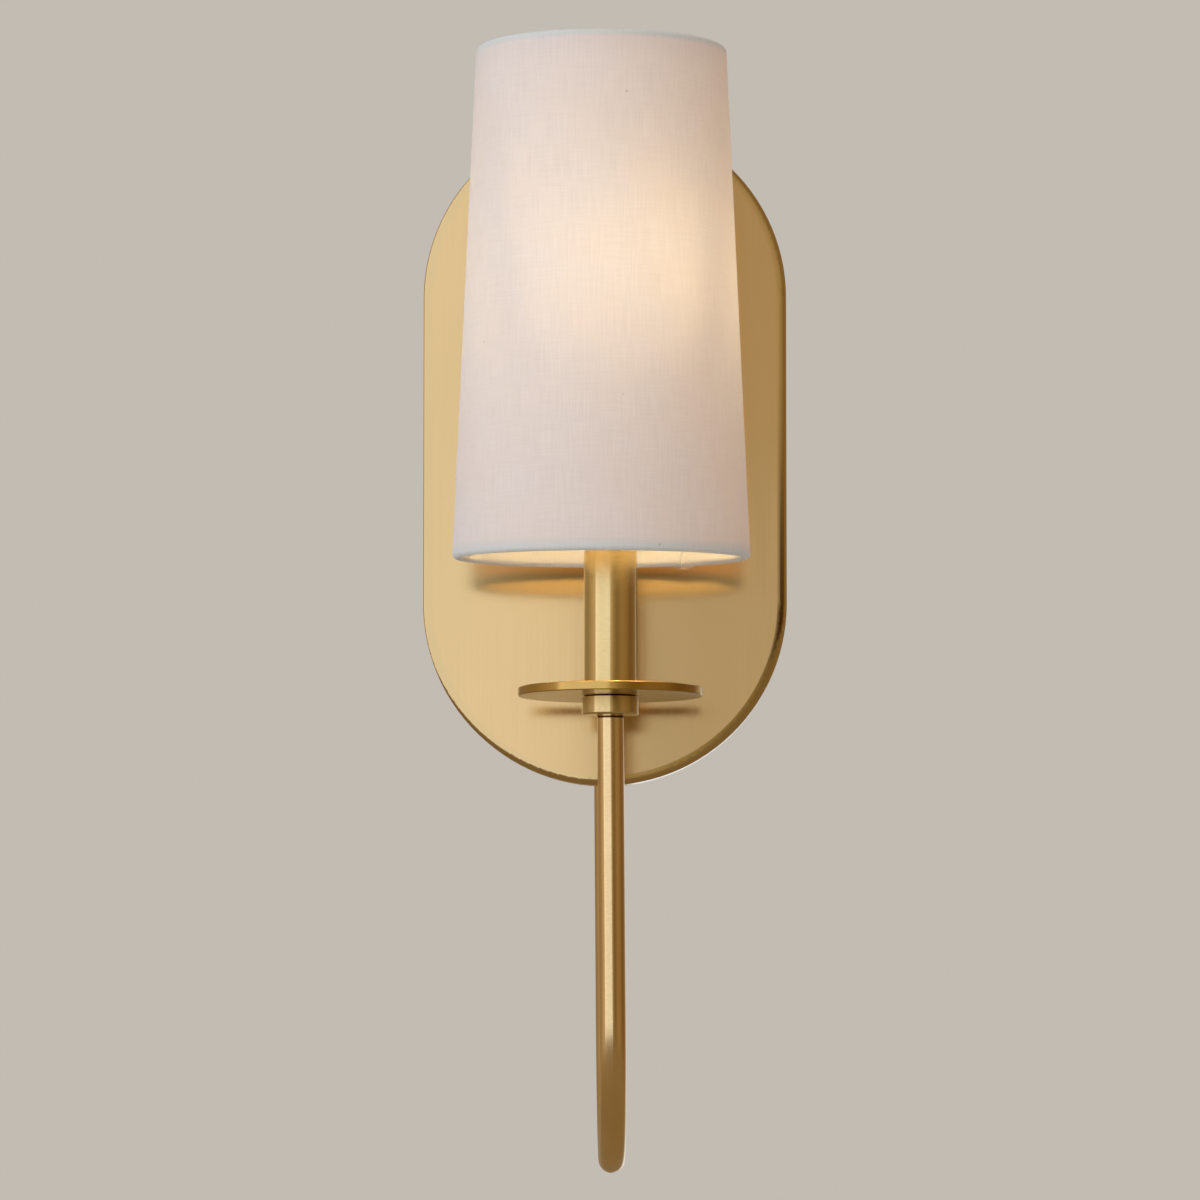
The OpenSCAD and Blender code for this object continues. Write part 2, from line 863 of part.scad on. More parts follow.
module drip_disc() {
  edge = 0.3;
  radius = disc_diameter / 2;
  color("goldenrod")
    candle_frame()
      difference() {
        rotate_extrude()
          polygon([
            [0, 0],
            [radius - edge, 0],
            [radius, edge],
            [radius, disc_thickness - edge],
            [radius - edge, disc_thickness],
            [0, disc_thickness]
          ]);
        translate([0, 0, -cut])
          cylinder(d = nipple_diameter + 2 * seat, h = disc_thickness + 2 * cut);
      }
}

module threaded_nipple() {
  color("gainsboro")
    candle_frame()
      translate([0, 0, tube_end + 2 * lean_seat])
        tube(nipple_diameter, nipple_bore, nipple_top - tube_end - 2 * lean_seat);
}

module nipple_nut() {
  color("goldenrod")
    candle_frame()
      translate([0, 0, disc_thickness + hickey_thickness])
        hex_nut(nipple_nut_flats, nipple_diameter + 2 * seat, nipple_nut_height);
}

module socket_bracket() {
  foot_width = hickey_width + 2 * hickey_foot_margin;
  tab_front = socket_screw_diameter + 1;
  color("silver")
    candle_frame()
      difference() {
        union() {
          intersection() {
            translate([0, 0, disc_thickness])
              cylinder(d = hickey_foot_diameter, h = hickey_thickness);
            translate([-foot_width / 2, -hickey_foot_diameter / 2, 0])
              cube([foot_width, hickey_foot_diameter / 2 + hickey_back, sleeve_top]);
          }
          translate([-hickey_width / 2, hickey_back - hickey_thickness, disc_thickness])
            cube([hickey_width, hickey_thickness, socket_base - disc_thickness]);
          translate([-hickey_width / 2, -tab_front, socket_base - hickey_thickness])
            cube([hickey_width, hickey_back + tab_front, hickey_thickness]);
        }
        cylinder(d = nipple_diameter + 2 * seat, h = nipple_top);
        translate([0, 0, socket_base - 2 * cut])
          cylinder(d = socket_screw_diameter + 2 * seat, h = 3 * cut);
      }
}

module socket_screw() {
  under_tab = socket_base - hickey_thickness;
  color("gainsboro")
    candle_frame() {
      translate([0, 0, under_tab - socket_screw_head])
        difference() {
          cylinder(d = socket_screw_head_diameter, h = socket_screw_head);
          driver_slot(socket_screw_head_diameter);
        }
      translate([0, 0, under_tab])
        cylinder(d = socket_screw_diameter, h = hickey_thickness + socket_screw_reach);
    }
}

module socket_body() {
  color("dimgray")
    candle_frame()
      difference() {
        translate([0, 0, socket_base])
          cylinder(d = socket_diameter, h = socket_height);
        translate([0, 0, socket_inside])
          cylinder(d = socket_shell_diameter + 2 * seat, h = socket_height);
        translate([0, 0, socket_base - cut])
          cylinder(d = socket_screw_diameter + 2 * seat, h = cut + socket_screw_reach + seat);
        for (side = [-1, 1])
          translate([side * terminal_offset, 0, socket_base - cut])
            cylinder(d = lead_diameter + 2 * seat, h = terminal_depth + cut);
      }
}

module socket_shell() {
  color("gold")
    candle_frame()
      translate([0, 0, socket_inside]) {
        tube(socket_shell_diameter, socket_shell_bore, socket_top - socket_inside);
        tube(socket_shell_diameter, socket_shell_hole, socket_shell_wall);
      }
}

module socket_contact() {
  rise = bulb_contact_base - socket_inside - contact_gap;
  color("goldenrod")
    candle_frame()
      translate([0, 0, socket_inside]) {
        cylinder(d = contact_base_diameter, h = contact_sheet);
        translate([-contact_tongue_width / 2, -contact_sheet / 2, 0])
          cube([contact_tongue_width, contact_sheet, rise]);
        translate([0, 0, rise - contact_sheet])
          cylinder(d = contact_pad_diameter, h = contact_sheet);
      }
}

module candle_sleeve() {
  color("peru")
    candle_frame()
      translate([0, 0, disc_thickness])
        tube(sleeve_diameter, sleeve_bore, sleeve_length);
}

// Bulb
module bulb_shell() {
  ribs = 1 + floor((bulb_shell_height - 2 * bulb_rib_margin) / bulb_thread_pitch);
  color("gainsboro")
    candle_frame()
      translate([0, 0, bulb_shell_base])
        rotate_extrude()
          difference() {
            union() {
              square([bulb_core_radius, bulb_shell_height]);
              for (rib = [0 : ribs - 1])
                translate([
                  bulb_base_diameter / 2 - bulb_rib_radius,
                  bulb_rib_margin + rib * bulb_thread_pitch
                ])
                  circle(r = bulb_rib_radius);
            }
            translate([0, -cut])
              square([bulb_core_radius - bulb_shell_wall, bulb_shell_height + 2 * cut]);
          }
}

module bulb_insulator() {
  color("black")
    candle_frame()
      translate([0, 0, bulb_shell_base - insulator_height])
        cylinder(d1 = insulator_tip_diameter, d2 = insulator_top_diameter, h = insulator_height);
}

module bulb_contact() {
  color("lightgray")
    candle_frame()
      translate([0, 0, bulb_contact_base])
        cylinder(d1 = bulb_contact_tip, d2 = bulb_contact_diameter, h = bulb_contact_height);
}

// Half outline of the bulb's glass around its widest level, set in by a distance
module bulb_outline(inset) {
  tip_join = tip_centre * (bulb_taper_radius - inset) / (bulb_taper_radius - bulb_tip_radius);
  translate([0, -bulb_belly_height - neck_length])
    square([bulb_neck_radius - inset, bulb_belly_height + neck_length]);
  intersection() {
    translate([bulb_radius - bulb_shoulder_radius, 0])
      circle(r = bulb_shoulder_radius - inset);
    translate([0, -bulb_shoulder_radius])
      square([bulb_radius, bulb_shoulder_radius]);
  }
  intersection() {
    translate([taper_centre, 0])
      circle(r = bulb_taper_radius - inset);
    square([bulb_radius, tip_join]);
  }
  intersection() {
    translate([0, tip_centre])
      circle(r = bulb_tip_radius - inset);
    translate([0, tip_centre - bulb_tip_radius / 2])
      square(2 * bulb_tip_radius);
  }
}

module bulb_glass() {
  color([0.9, 0.95, 1, 0.4])
    candle_frame()
      translate([0, 0, bulb_belly])
        rotate_extrude()
          difference() {
            bulb_outline(0);
            bulb_outline(glass_wall);
            translate([0, -bulb_belly_height - neck_length - cut])
              square([bulb_neck_radius - glass_wall, 2 * cut]);
          }
}

module bulb_stem() {
  foot_radius = bulb_neck_radius - glass_wall - seat;
  color([0.9, 0.95, 1, 0.5])
    candle_frame() {
      translate([0, 0, bulb_shell_top - neck_length])
        cylinder(r1 = foot_radius, r2 = stem_radius, h = neck_length);
      translate([0, 0, bulb_shell_top])
        cylinder(r = stem_radius, h = stem_height - stem_tip_height);
      translate([0, 0, stem_top - stem_tip_height])
        cylinder(r1 = stem_radius, r2 = stem_tip_radius, h = stem_tip_height);
    }
}

module bulb_supports() {
  top = filament_base + filament_length;
  color("silver")
    candle_frame() {
      translate([0, 0, stem_top])
        cylinder(d = support_wire, h = top - stem_top);
      for (level = [stem_top + support_wire, top])
        for (turn = [0, 90])
          rotate([0, 0, turn])
            translate([0, 0, level])
              rotate([0, 90, 0])
                cylinder(
                  d = support_wire,
                  h = 2 * filament_circle_radius,
                  center = true
                );
      for (turn = [0 : filaments - 1])
        rotate([0, 0, turn * 360 / filaments])
          translate([filament_circle_radius, 0, stem_top + support_wire])
            cylinder(d = support_wire, h = filament_lift - support_wire);
    }
}

module bulb_filaments() {
  color("orange")
    candle_frame()
      for (turn = [0 : filaments - 1])
        rotate([0, 0, turn * 360 / filaments])
          translate([filament_circle_radius, 0, filament_base])
            cylinder(d = filament_diameter, h = filament_length - support_wire / 2);
}

// Shade
// Half section of a conical wall between two heights, set in by a distance
module shade_wall(inset, thickness, low, high) {
  polygon([
    [shade_radius(low) - inset, low],
    [shade_radius(high) - inset, high],
    [shade_radius(high) - inset - thickness, high],
    [shade_radius(low) - inset - thickness, low]
  ]);
}

module shade_cover() {
  ring_hole = ring_wire / 2 + seat;
  color("linen")
    shade_frame()
      difference() {
        rotate_extrude()
          difference() {
            union() {
              shade_wall(0, cover_thickness, bottom_ring_height, cross_wire_drop);
              translate([top_ring_radius, cross_wire_drop])
                circle(r = hem_radius);
              translate([bottom_ring_radius, bottom_ring_height])
                circle(r = hem_radius);
            }
            translate([top_ring_radius, cross_wire_drop])
              circle(r = ring_hole);
            translate([bottom_ring_radius, bottom_ring_height])
              circle(r = ring_hole);
          }
        cross_wire_path(cross_wire + 2 * moving_gap);
      }
}

module shade_liner() {
  clear = hem_radius + seat;
  color("ivory")
    shade_frame()
      rotate_extrude()
        shade_wall(
          cover_thickness + seat,
          liner_thickness,
          bottom_ring_height + clear,
          cross_wire_drop - clear
        );
}

module wire_ring(radius) {
  rotate_extrude()
    translate([radius, 0])
      circle(d = ring_wire);
}

module shade_top_ring() {
  color("white")
    shade_frame()
      translate([0, 0, cross_wire_drop])
        wire_ring(top_ring_radius);
}

module shade_bottom_ring() {
  color("white")
    shade_frame()
      translate([0, 0, bottom_ring_height])
        wire_ring(bottom_ring_radius);
}

// Cross wire of a given diameter: level over the bulb, then up to the top ring on both sides
module cross_wire_path(diameter) {
  level_half = cross_flat_length - bead_step;
  rotate([0, 90, 0])
    translate([0, 0, -level_half])
      cylinder(d = diameter, h = 2 * level_half);
  for (side = [0, 1])
    mirror([side, 0, 0])
      translate([cross_flat_length, 0, 0])
        rotate([0, 90, 0])
          rotate([0, 0, 180])
            bend(diameter, cross_bend_radius, cross_wire_angle)
              run(diameter, cross_rise_length);
}

module shade_cross_wire() {
  color("white")
    shade_frame()
      cross_wire_path(cross_wire);
}

// Arc of clip wire in the xz plane
module clip_arc(radius, start, sweep) {
  rotate([90, 0, 0])
    rotate([0, 0, start])
      rotate_extrude(angle = sweep)
        translate([radius, 0])
          circle(d = clip_wire);
}

// Egg-shaped closed loop that hangs down from zero in the xz plane
module clip_loop() {
  centres = clip_length - clip_wide_radius - clip_narrow_radius;
  lean = asin((clip_wide_radius - clip_narrow_radius) / centres);
  translate([0, 0, clip_wide_radius - clip_length])
    clip_arc(clip_wide_radius, 180 - lean, 180 + 2 * lean);
  translate([0, 0, -clip_narrow_radius])
    clip_arc(clip_narrow_radius, lean, 180 - 2 * lean);
  for (side = [0, 1])
    mirror([side, 0, 0])
      translate([0, 0, clip_wide_radius - clip_length])
        rotate([0, -lean, 0])
          translate([clip_wide_radius, 0, 0]) {
            sphere(d = clip_wire + bead);
            run(clip_wire, centres * cos(lean))
              sphere(d = clip_wire + bead);
          }
}

module bulb_clip() {
  color("silver")
    clip_frame()
      for (side = [0, 180])
        rotate([0, 0, side])
          translate([0, -clip_top_offset, 0])
            rotate([-clip_slope, 0, 0])
              clip_loop();
}

box_strap();
swivel_rivet();
lamp_strap();
plate_screws();
lock_nuts();
grounding_screw();
backplate();
cap_nuts();
arm_bracket();
arm_tube();
arm_washer();
arm_nut();
tube_bushing();
hot_lead();
neutral_lead();
grounding_lead();
wire_connectors();
arm_collar();
drip_disc();
threaded_nipple();
nipple_nut();
socket_bracket();
socket_screw();
socket_body();
socket_shell();
socket_contact();
candle_sleeve();
bulb_shell();
bulb_insulator();
bulb_contact();
bulb_glass();
bulb_stem();
bulb_supports();
bulb_filaments();
shade_cover();
shade_liner();
shade_top_ring();
shade_bottom_ring();
shade_cross_wire();
bulb_clip();
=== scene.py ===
import json
import math

import bpy
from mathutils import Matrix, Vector

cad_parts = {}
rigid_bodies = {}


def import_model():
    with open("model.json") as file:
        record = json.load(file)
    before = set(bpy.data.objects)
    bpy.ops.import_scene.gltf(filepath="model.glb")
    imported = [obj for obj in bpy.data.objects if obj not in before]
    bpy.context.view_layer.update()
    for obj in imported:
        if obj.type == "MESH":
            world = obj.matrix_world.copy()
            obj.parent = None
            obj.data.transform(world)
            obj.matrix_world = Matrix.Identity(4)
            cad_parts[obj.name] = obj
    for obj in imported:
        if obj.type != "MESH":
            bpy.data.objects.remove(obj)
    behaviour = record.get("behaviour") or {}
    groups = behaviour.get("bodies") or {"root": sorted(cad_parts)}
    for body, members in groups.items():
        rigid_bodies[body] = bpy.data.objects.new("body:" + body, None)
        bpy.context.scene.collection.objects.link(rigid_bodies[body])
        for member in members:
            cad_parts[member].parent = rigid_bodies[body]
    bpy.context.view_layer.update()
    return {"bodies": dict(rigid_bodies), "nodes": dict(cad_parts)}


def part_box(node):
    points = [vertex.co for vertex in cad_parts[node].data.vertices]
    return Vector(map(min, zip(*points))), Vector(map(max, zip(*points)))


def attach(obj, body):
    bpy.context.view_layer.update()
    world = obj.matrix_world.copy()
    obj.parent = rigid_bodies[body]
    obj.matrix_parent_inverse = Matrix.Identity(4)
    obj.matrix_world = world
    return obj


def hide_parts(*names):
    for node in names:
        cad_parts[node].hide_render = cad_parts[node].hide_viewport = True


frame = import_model()
scene = bpy.context.scene
nodes = frame["nodes"]
print("wall lamp: the frame is loaded")

# Camera, on the photo's own line of sight
cameraView = {
    "place": (0.024, -1.806, -0.1663),
    "aim": (-0.0021, 0.0, -0.0555),
    "lens": 142.6,  # mm on a 36 mm sensor
}


def addCamera():
    place = Vector(cameraView["place"])
    sight = Vector(cameraView["aim"]) - place
    bpy.ops.object.camera_add(location=place, rotation=sight.to_track_quat("-Z", "Y").to_euler())
    camera = bpy.context.object
    camera.data.lens = cameraView["lens"]
    scene.camera = camera


addCamera()
print("wall lamp: camera set")


# Shared helpers
def linear(hexColour, strength=1.0):
    channels = [int(hexColour[i : i + 2], 16) / 255 for i in (1, 3, 5)]
    bent = [c / 12.92 if c <= 0.04045 else ((c + 0.055) / 1.055) ** 2.4 for c in channels]
    return (*[c * strength for c in bent], 1.0)


def addNode(tree, kind, inputs=None, **settings):
    # An input takes a value, a socket, or a node whose first used output it is joined to
    node = tree.nodes.new(kind)
    for name, value in settings.items():
        setattr(node, name, value)
    for socket, value in (inputs or {}).items():
        if isinstance(value, bpy.types.Node):
            value = next(output for output in value.outputs if output.enabled)
        if isinstance(value, bpy.types.NodeSocket):
            tree.links.new(value, node.inputs[socket])
        else:
            node.inputs[socket].default_value = value
    return node


def newMaterial(name):
    material = bpy.data.materials.new(name)
    material.use_nodes = True
    material.node_tree.nodes.clear()
    return material, material.node_tree


def grainOf(tree, coordinates, size, detail=2.0):
    # Noise whose grains have the given size in mm along x, y and z
    stretched = addNode(
        tree, "ShaderNodeMapping", {"Vector": coordinates, "Scale": [1000 / s for s in size]}
    )
    return addNode(
        tree, "ShaderNodeTexNoise", {"Vector": stretched, "Scale": 1.0, "Detail": detail}
    )


reliefDepth = 0.00002  # metres that a relief of 1 stands out


def hardFinish(look):
    # Metal, plastic or paint: soft clouds of tone, fine grain in colour, gloss and relief
    material, tree = newMaterial(look["name"])
    where = addNode(tree, "ShaderNodeTexCoord")
    place = where.outputs["Object"]
    fine = grainOf(tree, place, look["grain"], 3.0)
    cloud = grainOf(tree, place, look["cloud"])
    share = addNode(
        tree, "ShaderNodeMapRange", {"Value": cloud, "From Min": 0.35, "From Max": 0.65}
    )
    tone = addNode(
        tree,
        "ShaderNodeMix",
        {0: share, 6: linear(look["dark"]), 7: linear(look["light"])},
        data_type="RGBA",
    )
    mark = addNode(
        tree,
        "ShaderNodeMapRange",
        {"Value": fine, "From Min": 0.4, "From Max": 0.7, "To Max": look["marks"]},
    )
    marked = addNode(
        tree,
        "ShaderNodeMix",
        {0: mark, 6: tone, 7: linear(look["markTone"])},
        data_type="RGBA",
    )
    gloss = addNode(
        tree,
        "ShaderNodeMapRange",
        {
            "Value": fine,
            "From Min": 0.3,
            "From Max": 0.7,
            "To Min": look["roughness"] * 0.85,
            "To Max": look["roughness"] * 1.15,
        },
    )
    relief = addNode(
        tree,
        "ShaderNodeBump",
        {"Strength": look["relief"], "Distance": reliefDepth, "Height": fine},
    )
    if "joint" in look:
        # Painted shade: the gap where two pieces meet is too thin to show, so the shade in it is
        # painted dark on the metal beside it
        level = addNode(tree, "ShaderNodeSeparateXYZ", {"Vector": place}).outputs["Z"]
        beside = addNode(
            tree,
            "ShaderNodeMath",
            {0: level, 1: look["joint"]["level"], 2: look["joint"]["half"]},
            operation="COMPARE",
        )
        marked = addNode(
            tree,
            "ShaderNodeMix",
            {0: beside, 6: marked, 7: linear(look["joint"]["tone"])},
            data_type="RGBA",
        )
    if "under" in look:
        # Underneath, the colour is drawn darker as painted shade, and the gloss left duller, as it
        # came off the tool
        facing = addNode(tree, "ShaderNodeSeparateXYZ", {"Vector": where.outputs["Normal"]})
        below = addNode(
            tree,
            "ShaderNodeMapRange",
            {"Value": facing.outputs["Z"], "From Min": -0.6, "From Max": -0.9},
        )
        marked = addNode(
            tree,
            "ShaderNodeMix",
            {0: below, 6: marked, 7: linear(look["under"]["tone"])},
            data_type="RGBA",
        )
        gloss = addNode(
            tree,
            "ShaderNodeMix",
            {0: below, 2: gloss, 3: look["under"]["roughness"]},
            data_type="FLOAT",
        )
    shader = addNode(
        tree,
        "ShaderNodeBsdfPrincipled",
        {"Base Color": marked, "Metallic": look["metal"], "Roughness": gloss, "Normal": relief},
    )
    if "pull" in look:
        # Brushing pulls each reflection out across its lines
        across = addNode(tree, "ShaderNodeTangent", direction_type="RADIAL", axis="Z")
        tree.links.new(across.outputs[0], shader.inputs["Tangent"])
        shader.inputs["Anisotropic"].default_value = look["pull"]
        shader.inputs["Anisotropic Rotation"].default_value = look.get("pullTurn", 0.0)
    if "coat" in look:
        shader.inputs["Coat Weight"].default_value = look["coat"]
        shader.inputs["Coat Roughness"].default_value = look["coatRoughness"]
    addNode(tree, "ShaderNodeOutputMaterial", {"Surface": shader})
    return material


def paint(look, *names):
    material = hardFinish(look) if isinstance(look, dict) else look
    for name in names:
        mesh = nodes[name].data
        mesh.materials.clear()
        mesh.materials.append(material)
        for slot in nodes[name].material_slots:
            slot.material = material


# Brass pieces in sight
plateBrass = {  # pressed yellow brass, finely brushed up and down, then lacquered: a soft mirror
    "name": "brushedLacqueredBrass",
    "grain": (0.5, 0.5, 60.0),  # real brush lines are about 0.05 mm apart, too fine to show
    "cloud": (40.0, 40.0, 90.0),
    "light": "#DBBF87",
    "dark": "#D7BC84",
    "marks": 0.12,
    "markTone": "#C9AE7A",
    "metal": 1.0,
    "roughness": 0.11,
    "relief": 0.015,
    "pull": 0.5,
}
tubeBrass = {  # drawn brass tube, polished and lacquered: clear bands of light along it
    "name": "drawnLacqueredBrass",
    "grain": (1.5, 1.5, 0.35),  # polishing goes round the tube
    "cloud": (14.0, 14.0, 40.0),
    "light": "#E8D194",
    "dark": "#E2C98C",
    "marks": 0.12,
    "markTone": "#C3A269",
    "metal": 1.0,
    "roughness": 0.19,
    "relief": 0.04,
    "pull": 0.8,
    "pullTurn": 0.25,  # a quarter turn: reflections are drawn out along the tube
}
collarFoot, collarTop = [corner[2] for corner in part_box("arm_collar")]
collarBrass = {  # as the sleeve's tube
    **tubeBrass,
    "name": "collarLacqueredBrass",
    # painted shade: a dark band on the collar just under the disc
    "joint": {"level": collarTop, "half": 0.00045, "tone": "#33230F"},
}
armBrass = {  # thinner brass tube, bent, drawn paler than the sleeve's brass: painted light
    **tubeBrass,
    "name": "bentLacqueredBrass",
    "light": "#F3D69F",
    "dark": "#ECCF96",
    "markTone": "#CCA671",
    # painted shade: a dark band on the arm just below the collar
    "joint": {"level": collarFoot - 0.0002, "half": 0.0004, "tone": "#5A4020"},
}
discBrass = {  # turned brass, nearly bright, with rings too fine to see
    "name": "turnedLacqueredBrass",
    "grain": (0.6, 0.6, 0.3),
    "cloud": (18.0, 18.0, 18.0),
    "light": "#D2B064",
    "dark": "#CAA75C",
    "marks": 0.1,
    "markTone": "#AF8943",
    "metal": 1.0,
    "roughness": 0.18,
    "relief": 0.03,
    "under": {"tone": "#BBA064", "roughness": 0.22},  # off the tool, not polished: duller, and drawn darker as painted shade
}
paint(plateBrass, "backplate")
paint(tubeBrass, "candle_sleeve")
paint(collarBrass, "arm_collar")
paint(armBrass, "arm_tube")
paint(discBrass, "drip_disc", "cap_nuts")
print("wall lamp: brass done")

# Pieces inside the plate, the sleeve and the shade
zincSheet = {  # cold rolled steel strip, zinc plated: pale blue-grey with soft clouds
    "name": "zincPlatedSteel",
    "grain": (6.0, 0.5, 0.5),
    "cloud": (7.0, 7.0, 7.0),
    "light": "#C3C6C8",
    "dark": "#A9ADB1",
    "marks": 0.3,
    "markTone": "#8F9499",
    "metal": 1.0,
    "roughness": 0.36,
    "relief": 0.2,
}
turnedSteel = {  # cold headed steel screws and nuts, zinc plated: brighter, with fine tool lines
    "name": "brightZincSteel",
    "grain": (0.7, 0.3, 0.7),
    "cloud": (3.0, 3.0, 3.0),
    "light": "#D0D1D0",
    "dark": "#B4B6B7",
    "marks": 0.25,
    "markTone": "#8B8C8C",
    "metal": 1.0,
    "roughness": 0.28,
    "relief": 0.25,
}
greenLacquer = {  # steel screw dipped in green lacquer
    "name": "greenLacqueredSteel",
    "grain": (0.8, 0.8, 0.8),
    "cloud": (3.0, 3.0, 3.0),
    "light": "#2C7A45",
    "dark": "#226339",
    "marks": 0.2,
    "markTone": "#4B8F60",
    "metal": 0.35,
    "roughness": 0.3,
    "relief": 0.2,
    "coat": 0.4,
    "coatRoughness": 0.2,
}
copperWire = {  # drawn bare copper, slightly browned by air
    "name": "drawnCopper",
    "grain": (0.3, 4.0, 4.0),
    "cloud": (6.0, 6.0, 6.0),
    "light": "#E0A27C",
    "dark": "#BF7A55",
    "marks": 0.35,
    "markTone": "#8C5238",
    "metal": 1.0,
    "roughness": 0.32,
    "relief": 0.2,
}
blackSleeving = {  # extruded black PVC: a dull sheen
    "name": "blackVinyl",
    "grain": (1.2, 1.2, 6.0),
    "cloud": (8.0, 8.0, 8.0),
    "light": "#262524",
    "dark": "#191918",
    "marks": 0.3,
    "markTone": "#3A3938",
    "metal": 0.0,
    "roughness": 0.45,
    "relief": 0.2,
}
whiteSleeving = {  # extruded white PVC
    "name": "whiteVinyl",
    "grain": (1.2, 1.2, 6.0),
    "cloud": (8.0, 8.0, 8.0),
    "light": "#ECEBE6",
    "dark": "#DFDDD6",
    "marks": 0.25,
    "markTone": "#C8C5BC",
    "metal": 0.0,
    "roughness": 0.42,
    "relief": 0.2,
}
orangeNylon = {  # moulded nylon: saturated, glossy on the ribs
    "name": "mouldedOrangeNylon",
    "grain": (0.8, 0.8, 0.8),
    "cloud": (6.0, 6.0, 6.0),
    "light": "#E8761F",
    "dark": "#D96714",
    "marks": 0.2,
    "markTone": "#B9510C",
    "metal": 0.0,
    "roughness": 0.35,
    "relief": 0.25,
}
greyNylon = {  # moulded dark grey nylon
    "name": "mouldedGreyNylon",
    "grain": (0.6, 0.6, 0.6),
    "cloud": (5.0, 5.0, 5.0),
    "light": "#4A4947",
    "dark": "#3D3C3B",
    "marks": 0.2,
    "markTone": "#5E5D5A",
    "metal": 0.0,
    "roughness": 0.5,
    "relief": 0.3,
}
phenolic = {  # moulded phenolic resin: nearly black, with a brown cast and faint flow marks
    "name": "mouldedPhenolic",
    "grain": (1.5, 1.5, 5.0),
    "cloud": (9.0, 9.0, 12.0),
    "light": "#2B2320",
    "dark": "#1C1716",
    "marks": 0.3,
    "markTone": "#3E332E",
    "metal": 0.0,
    "roughness": 0.33,
    "relief": 0.3,
}
spunBrass = {  # raw drawn brass sheet, slightly dulled
    "name": "rawDrawnBrass",
    "grain": (0.8, 0.8, 0.3),
    "cloud": (4.0, 4.0, 4.0),
    "light": "#E0C17A",
    "dark": "#C8A45E",
    "marks": 0.35,
    "markTone": "#A37F42",
    "metal": 1.0,
    "roughness": 0.3,
    "relief": 0.25,
}
nickelShell = {  # rolled brass shell, nickel plated
    "name": "nickelPlatedBrass",
    "grain": (1.5, 1.5, 0.4),
    "cloud": (5.0, 5.0, 5.0),
    "light": "#DAD8D0",
    "dark": "#C3C0B6",
    "marks": 0.25,
    "markTone": "#9D9A91",
    "metal": 1.0,
    "roughness": 0.24,
    "relief": 0.2,
}
blackGlass = {  # poured black glass between shell and contact
    "name": "pouredBlackGlass",
    "grain": (0.8, 0.8, 0.8),
    "cloud": (3.0, 3.0, 3.0),
    "light": "#16161A",
    "dark": "#0C0C0E",
    "marks": 0.2,
    "markTone": "#2A2A30",
    "metal": 0.0,
    "roughness": 0.15,
    "relief": 0.3,
}
solderTin = {  # a drop of tin solder, wiped smooth
    "name": "tinSolder",
    "grain": (0.7, 0.7, 0.7),
    "cloud": (2.0, 2.0, 2.0),
    "light": "#CBCBC8",
    "dark": "#A5A5A2",
    "marks": 0.4,
    "markTone": "#7F7F7D",
    "metal": 1.0,
    "roughness": 0.38,
    "relief": 0.5,
}
supportWire = {  # drawn nickel wire
    "name": "drawnNickelWire",
    "grain": (0.3, 0.3, 3.0),
    "cloud": (3.0, 3.0, 3.0),
    "light": "#BDBAB3",
    "dark": "#A19E98",
    "marks": 0.25,
    "markTone": "#84817B",
    "metal": 1.0,
    "roughness": 0.3,
    "relief": 0.1,
}
whiteLacquer = {  # steel wire with white powder paint: soft gloss with a faint orange-peel
    "name": "whitePowderPaint",
    "grain": (0.9, 0.9, 0.9),
    "cloud": (12.0, 12.0, 12.0),
    "light": "#EDEAE4",
    "dark": "#E3DFD7",
    "marks": 0.15,
    "markTone": "#CFCAC0",
    "metal": 0.0,
    "roughness": 0.4,
    "relief": 0.6,
}
springWire = {  # hard drawn spring wire, nickel plated
    "name": "platedSpringWire",
    "grain": (0.3, 0.3, 5.0),
    "cloud": (6.0, 6.0, 6.0),
    "light": "#D2CFC8",
    "dark": "#B9B6AF",
    "marks": 0.25,
    "markTone": "#95928B",
    "metal": 1.0,
    "roughness": 0.25,
    "relief": 0.12,
}
paint(zincSheet, "box_strap", "lamp_strap", "arm_bracket", "socket_bracket")
paint(
    turnedSteel,
    "swivel_rivet",
    "plate_screws",
    "lock_nuts",
    "arm_washer",
    "threaded_nipple",
    "socket_screw",
)
paint(greenLacquer, "grounding_screw")
paint(copperWire, "grounding_lead")
paint(blackSleeving, "hot_lead")
paint(whiteSleeving, "neutral_lead")
paint(orangeNylon, "wire_connectors")
paint(greyNylon, "tube_bushing")
paint(phenolic, "socket_body")
paint(spunBrass, "arm_nut", "nipple_nut", "socket_shell", "socket_contact")
paint(nickelShell, "bulb_shell")
paint(blackGlass, "bulb_insulator")
paint(solderTin, "bulb_contact")
paint(supportWire, "bulb_supports")
paint(whiteLacquer, "shade_top_ring", "shade_bottom_ring", "shade_cross_wire")
paint(springWire, "bulb_clip")
print("wall lamp: inner pieces done")

# Shade: linen glued on a stiff film, its edges rolled round two wire rings
shade = {
    "wire": 0.0011,  # radius of a ring's wire
    "roll": 0.0015,  # from the wire's centre to the middle of the cloth
    "cloth": 0.0005,  # thickness of the linen
    "turnIn": 0.007,  # how far an edge is turned in
    "linerInset": 0.00105,  # from the outside of the linen to the inside of the film
    "seamAt": 145.4,  # degrees from the front, round to the right
    "overlap": 0.011,
    "overlapFrom": 0.93,  # share of the way round where the cloth climbs over its own start
    "overlapRise": 0.03,  # share of the way round that the climb takes
    "overlapGap": 0.00005,
    "columns": 264,
    "wallRows": 56,
    "rollRows": 12,
    "turnRows": 5,
}


def shadeFrame():
    corners = [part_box(name) for name in ("shade_bottom_ring", "shade_top_ring")]
    centres = [(Vector(low) + Vector(high)) / 2 for low, high in corners]
    radii = [(high[0] - low[0]) / 2 - shade["wire"] for low, high in corners]
    axis = (centres[1] - centres[0]).normalized()
    right = (Vector((1, 0, 0)) - axis * axis.x).normalized()
    return centres, radii, axis, right, axis.cross(right)


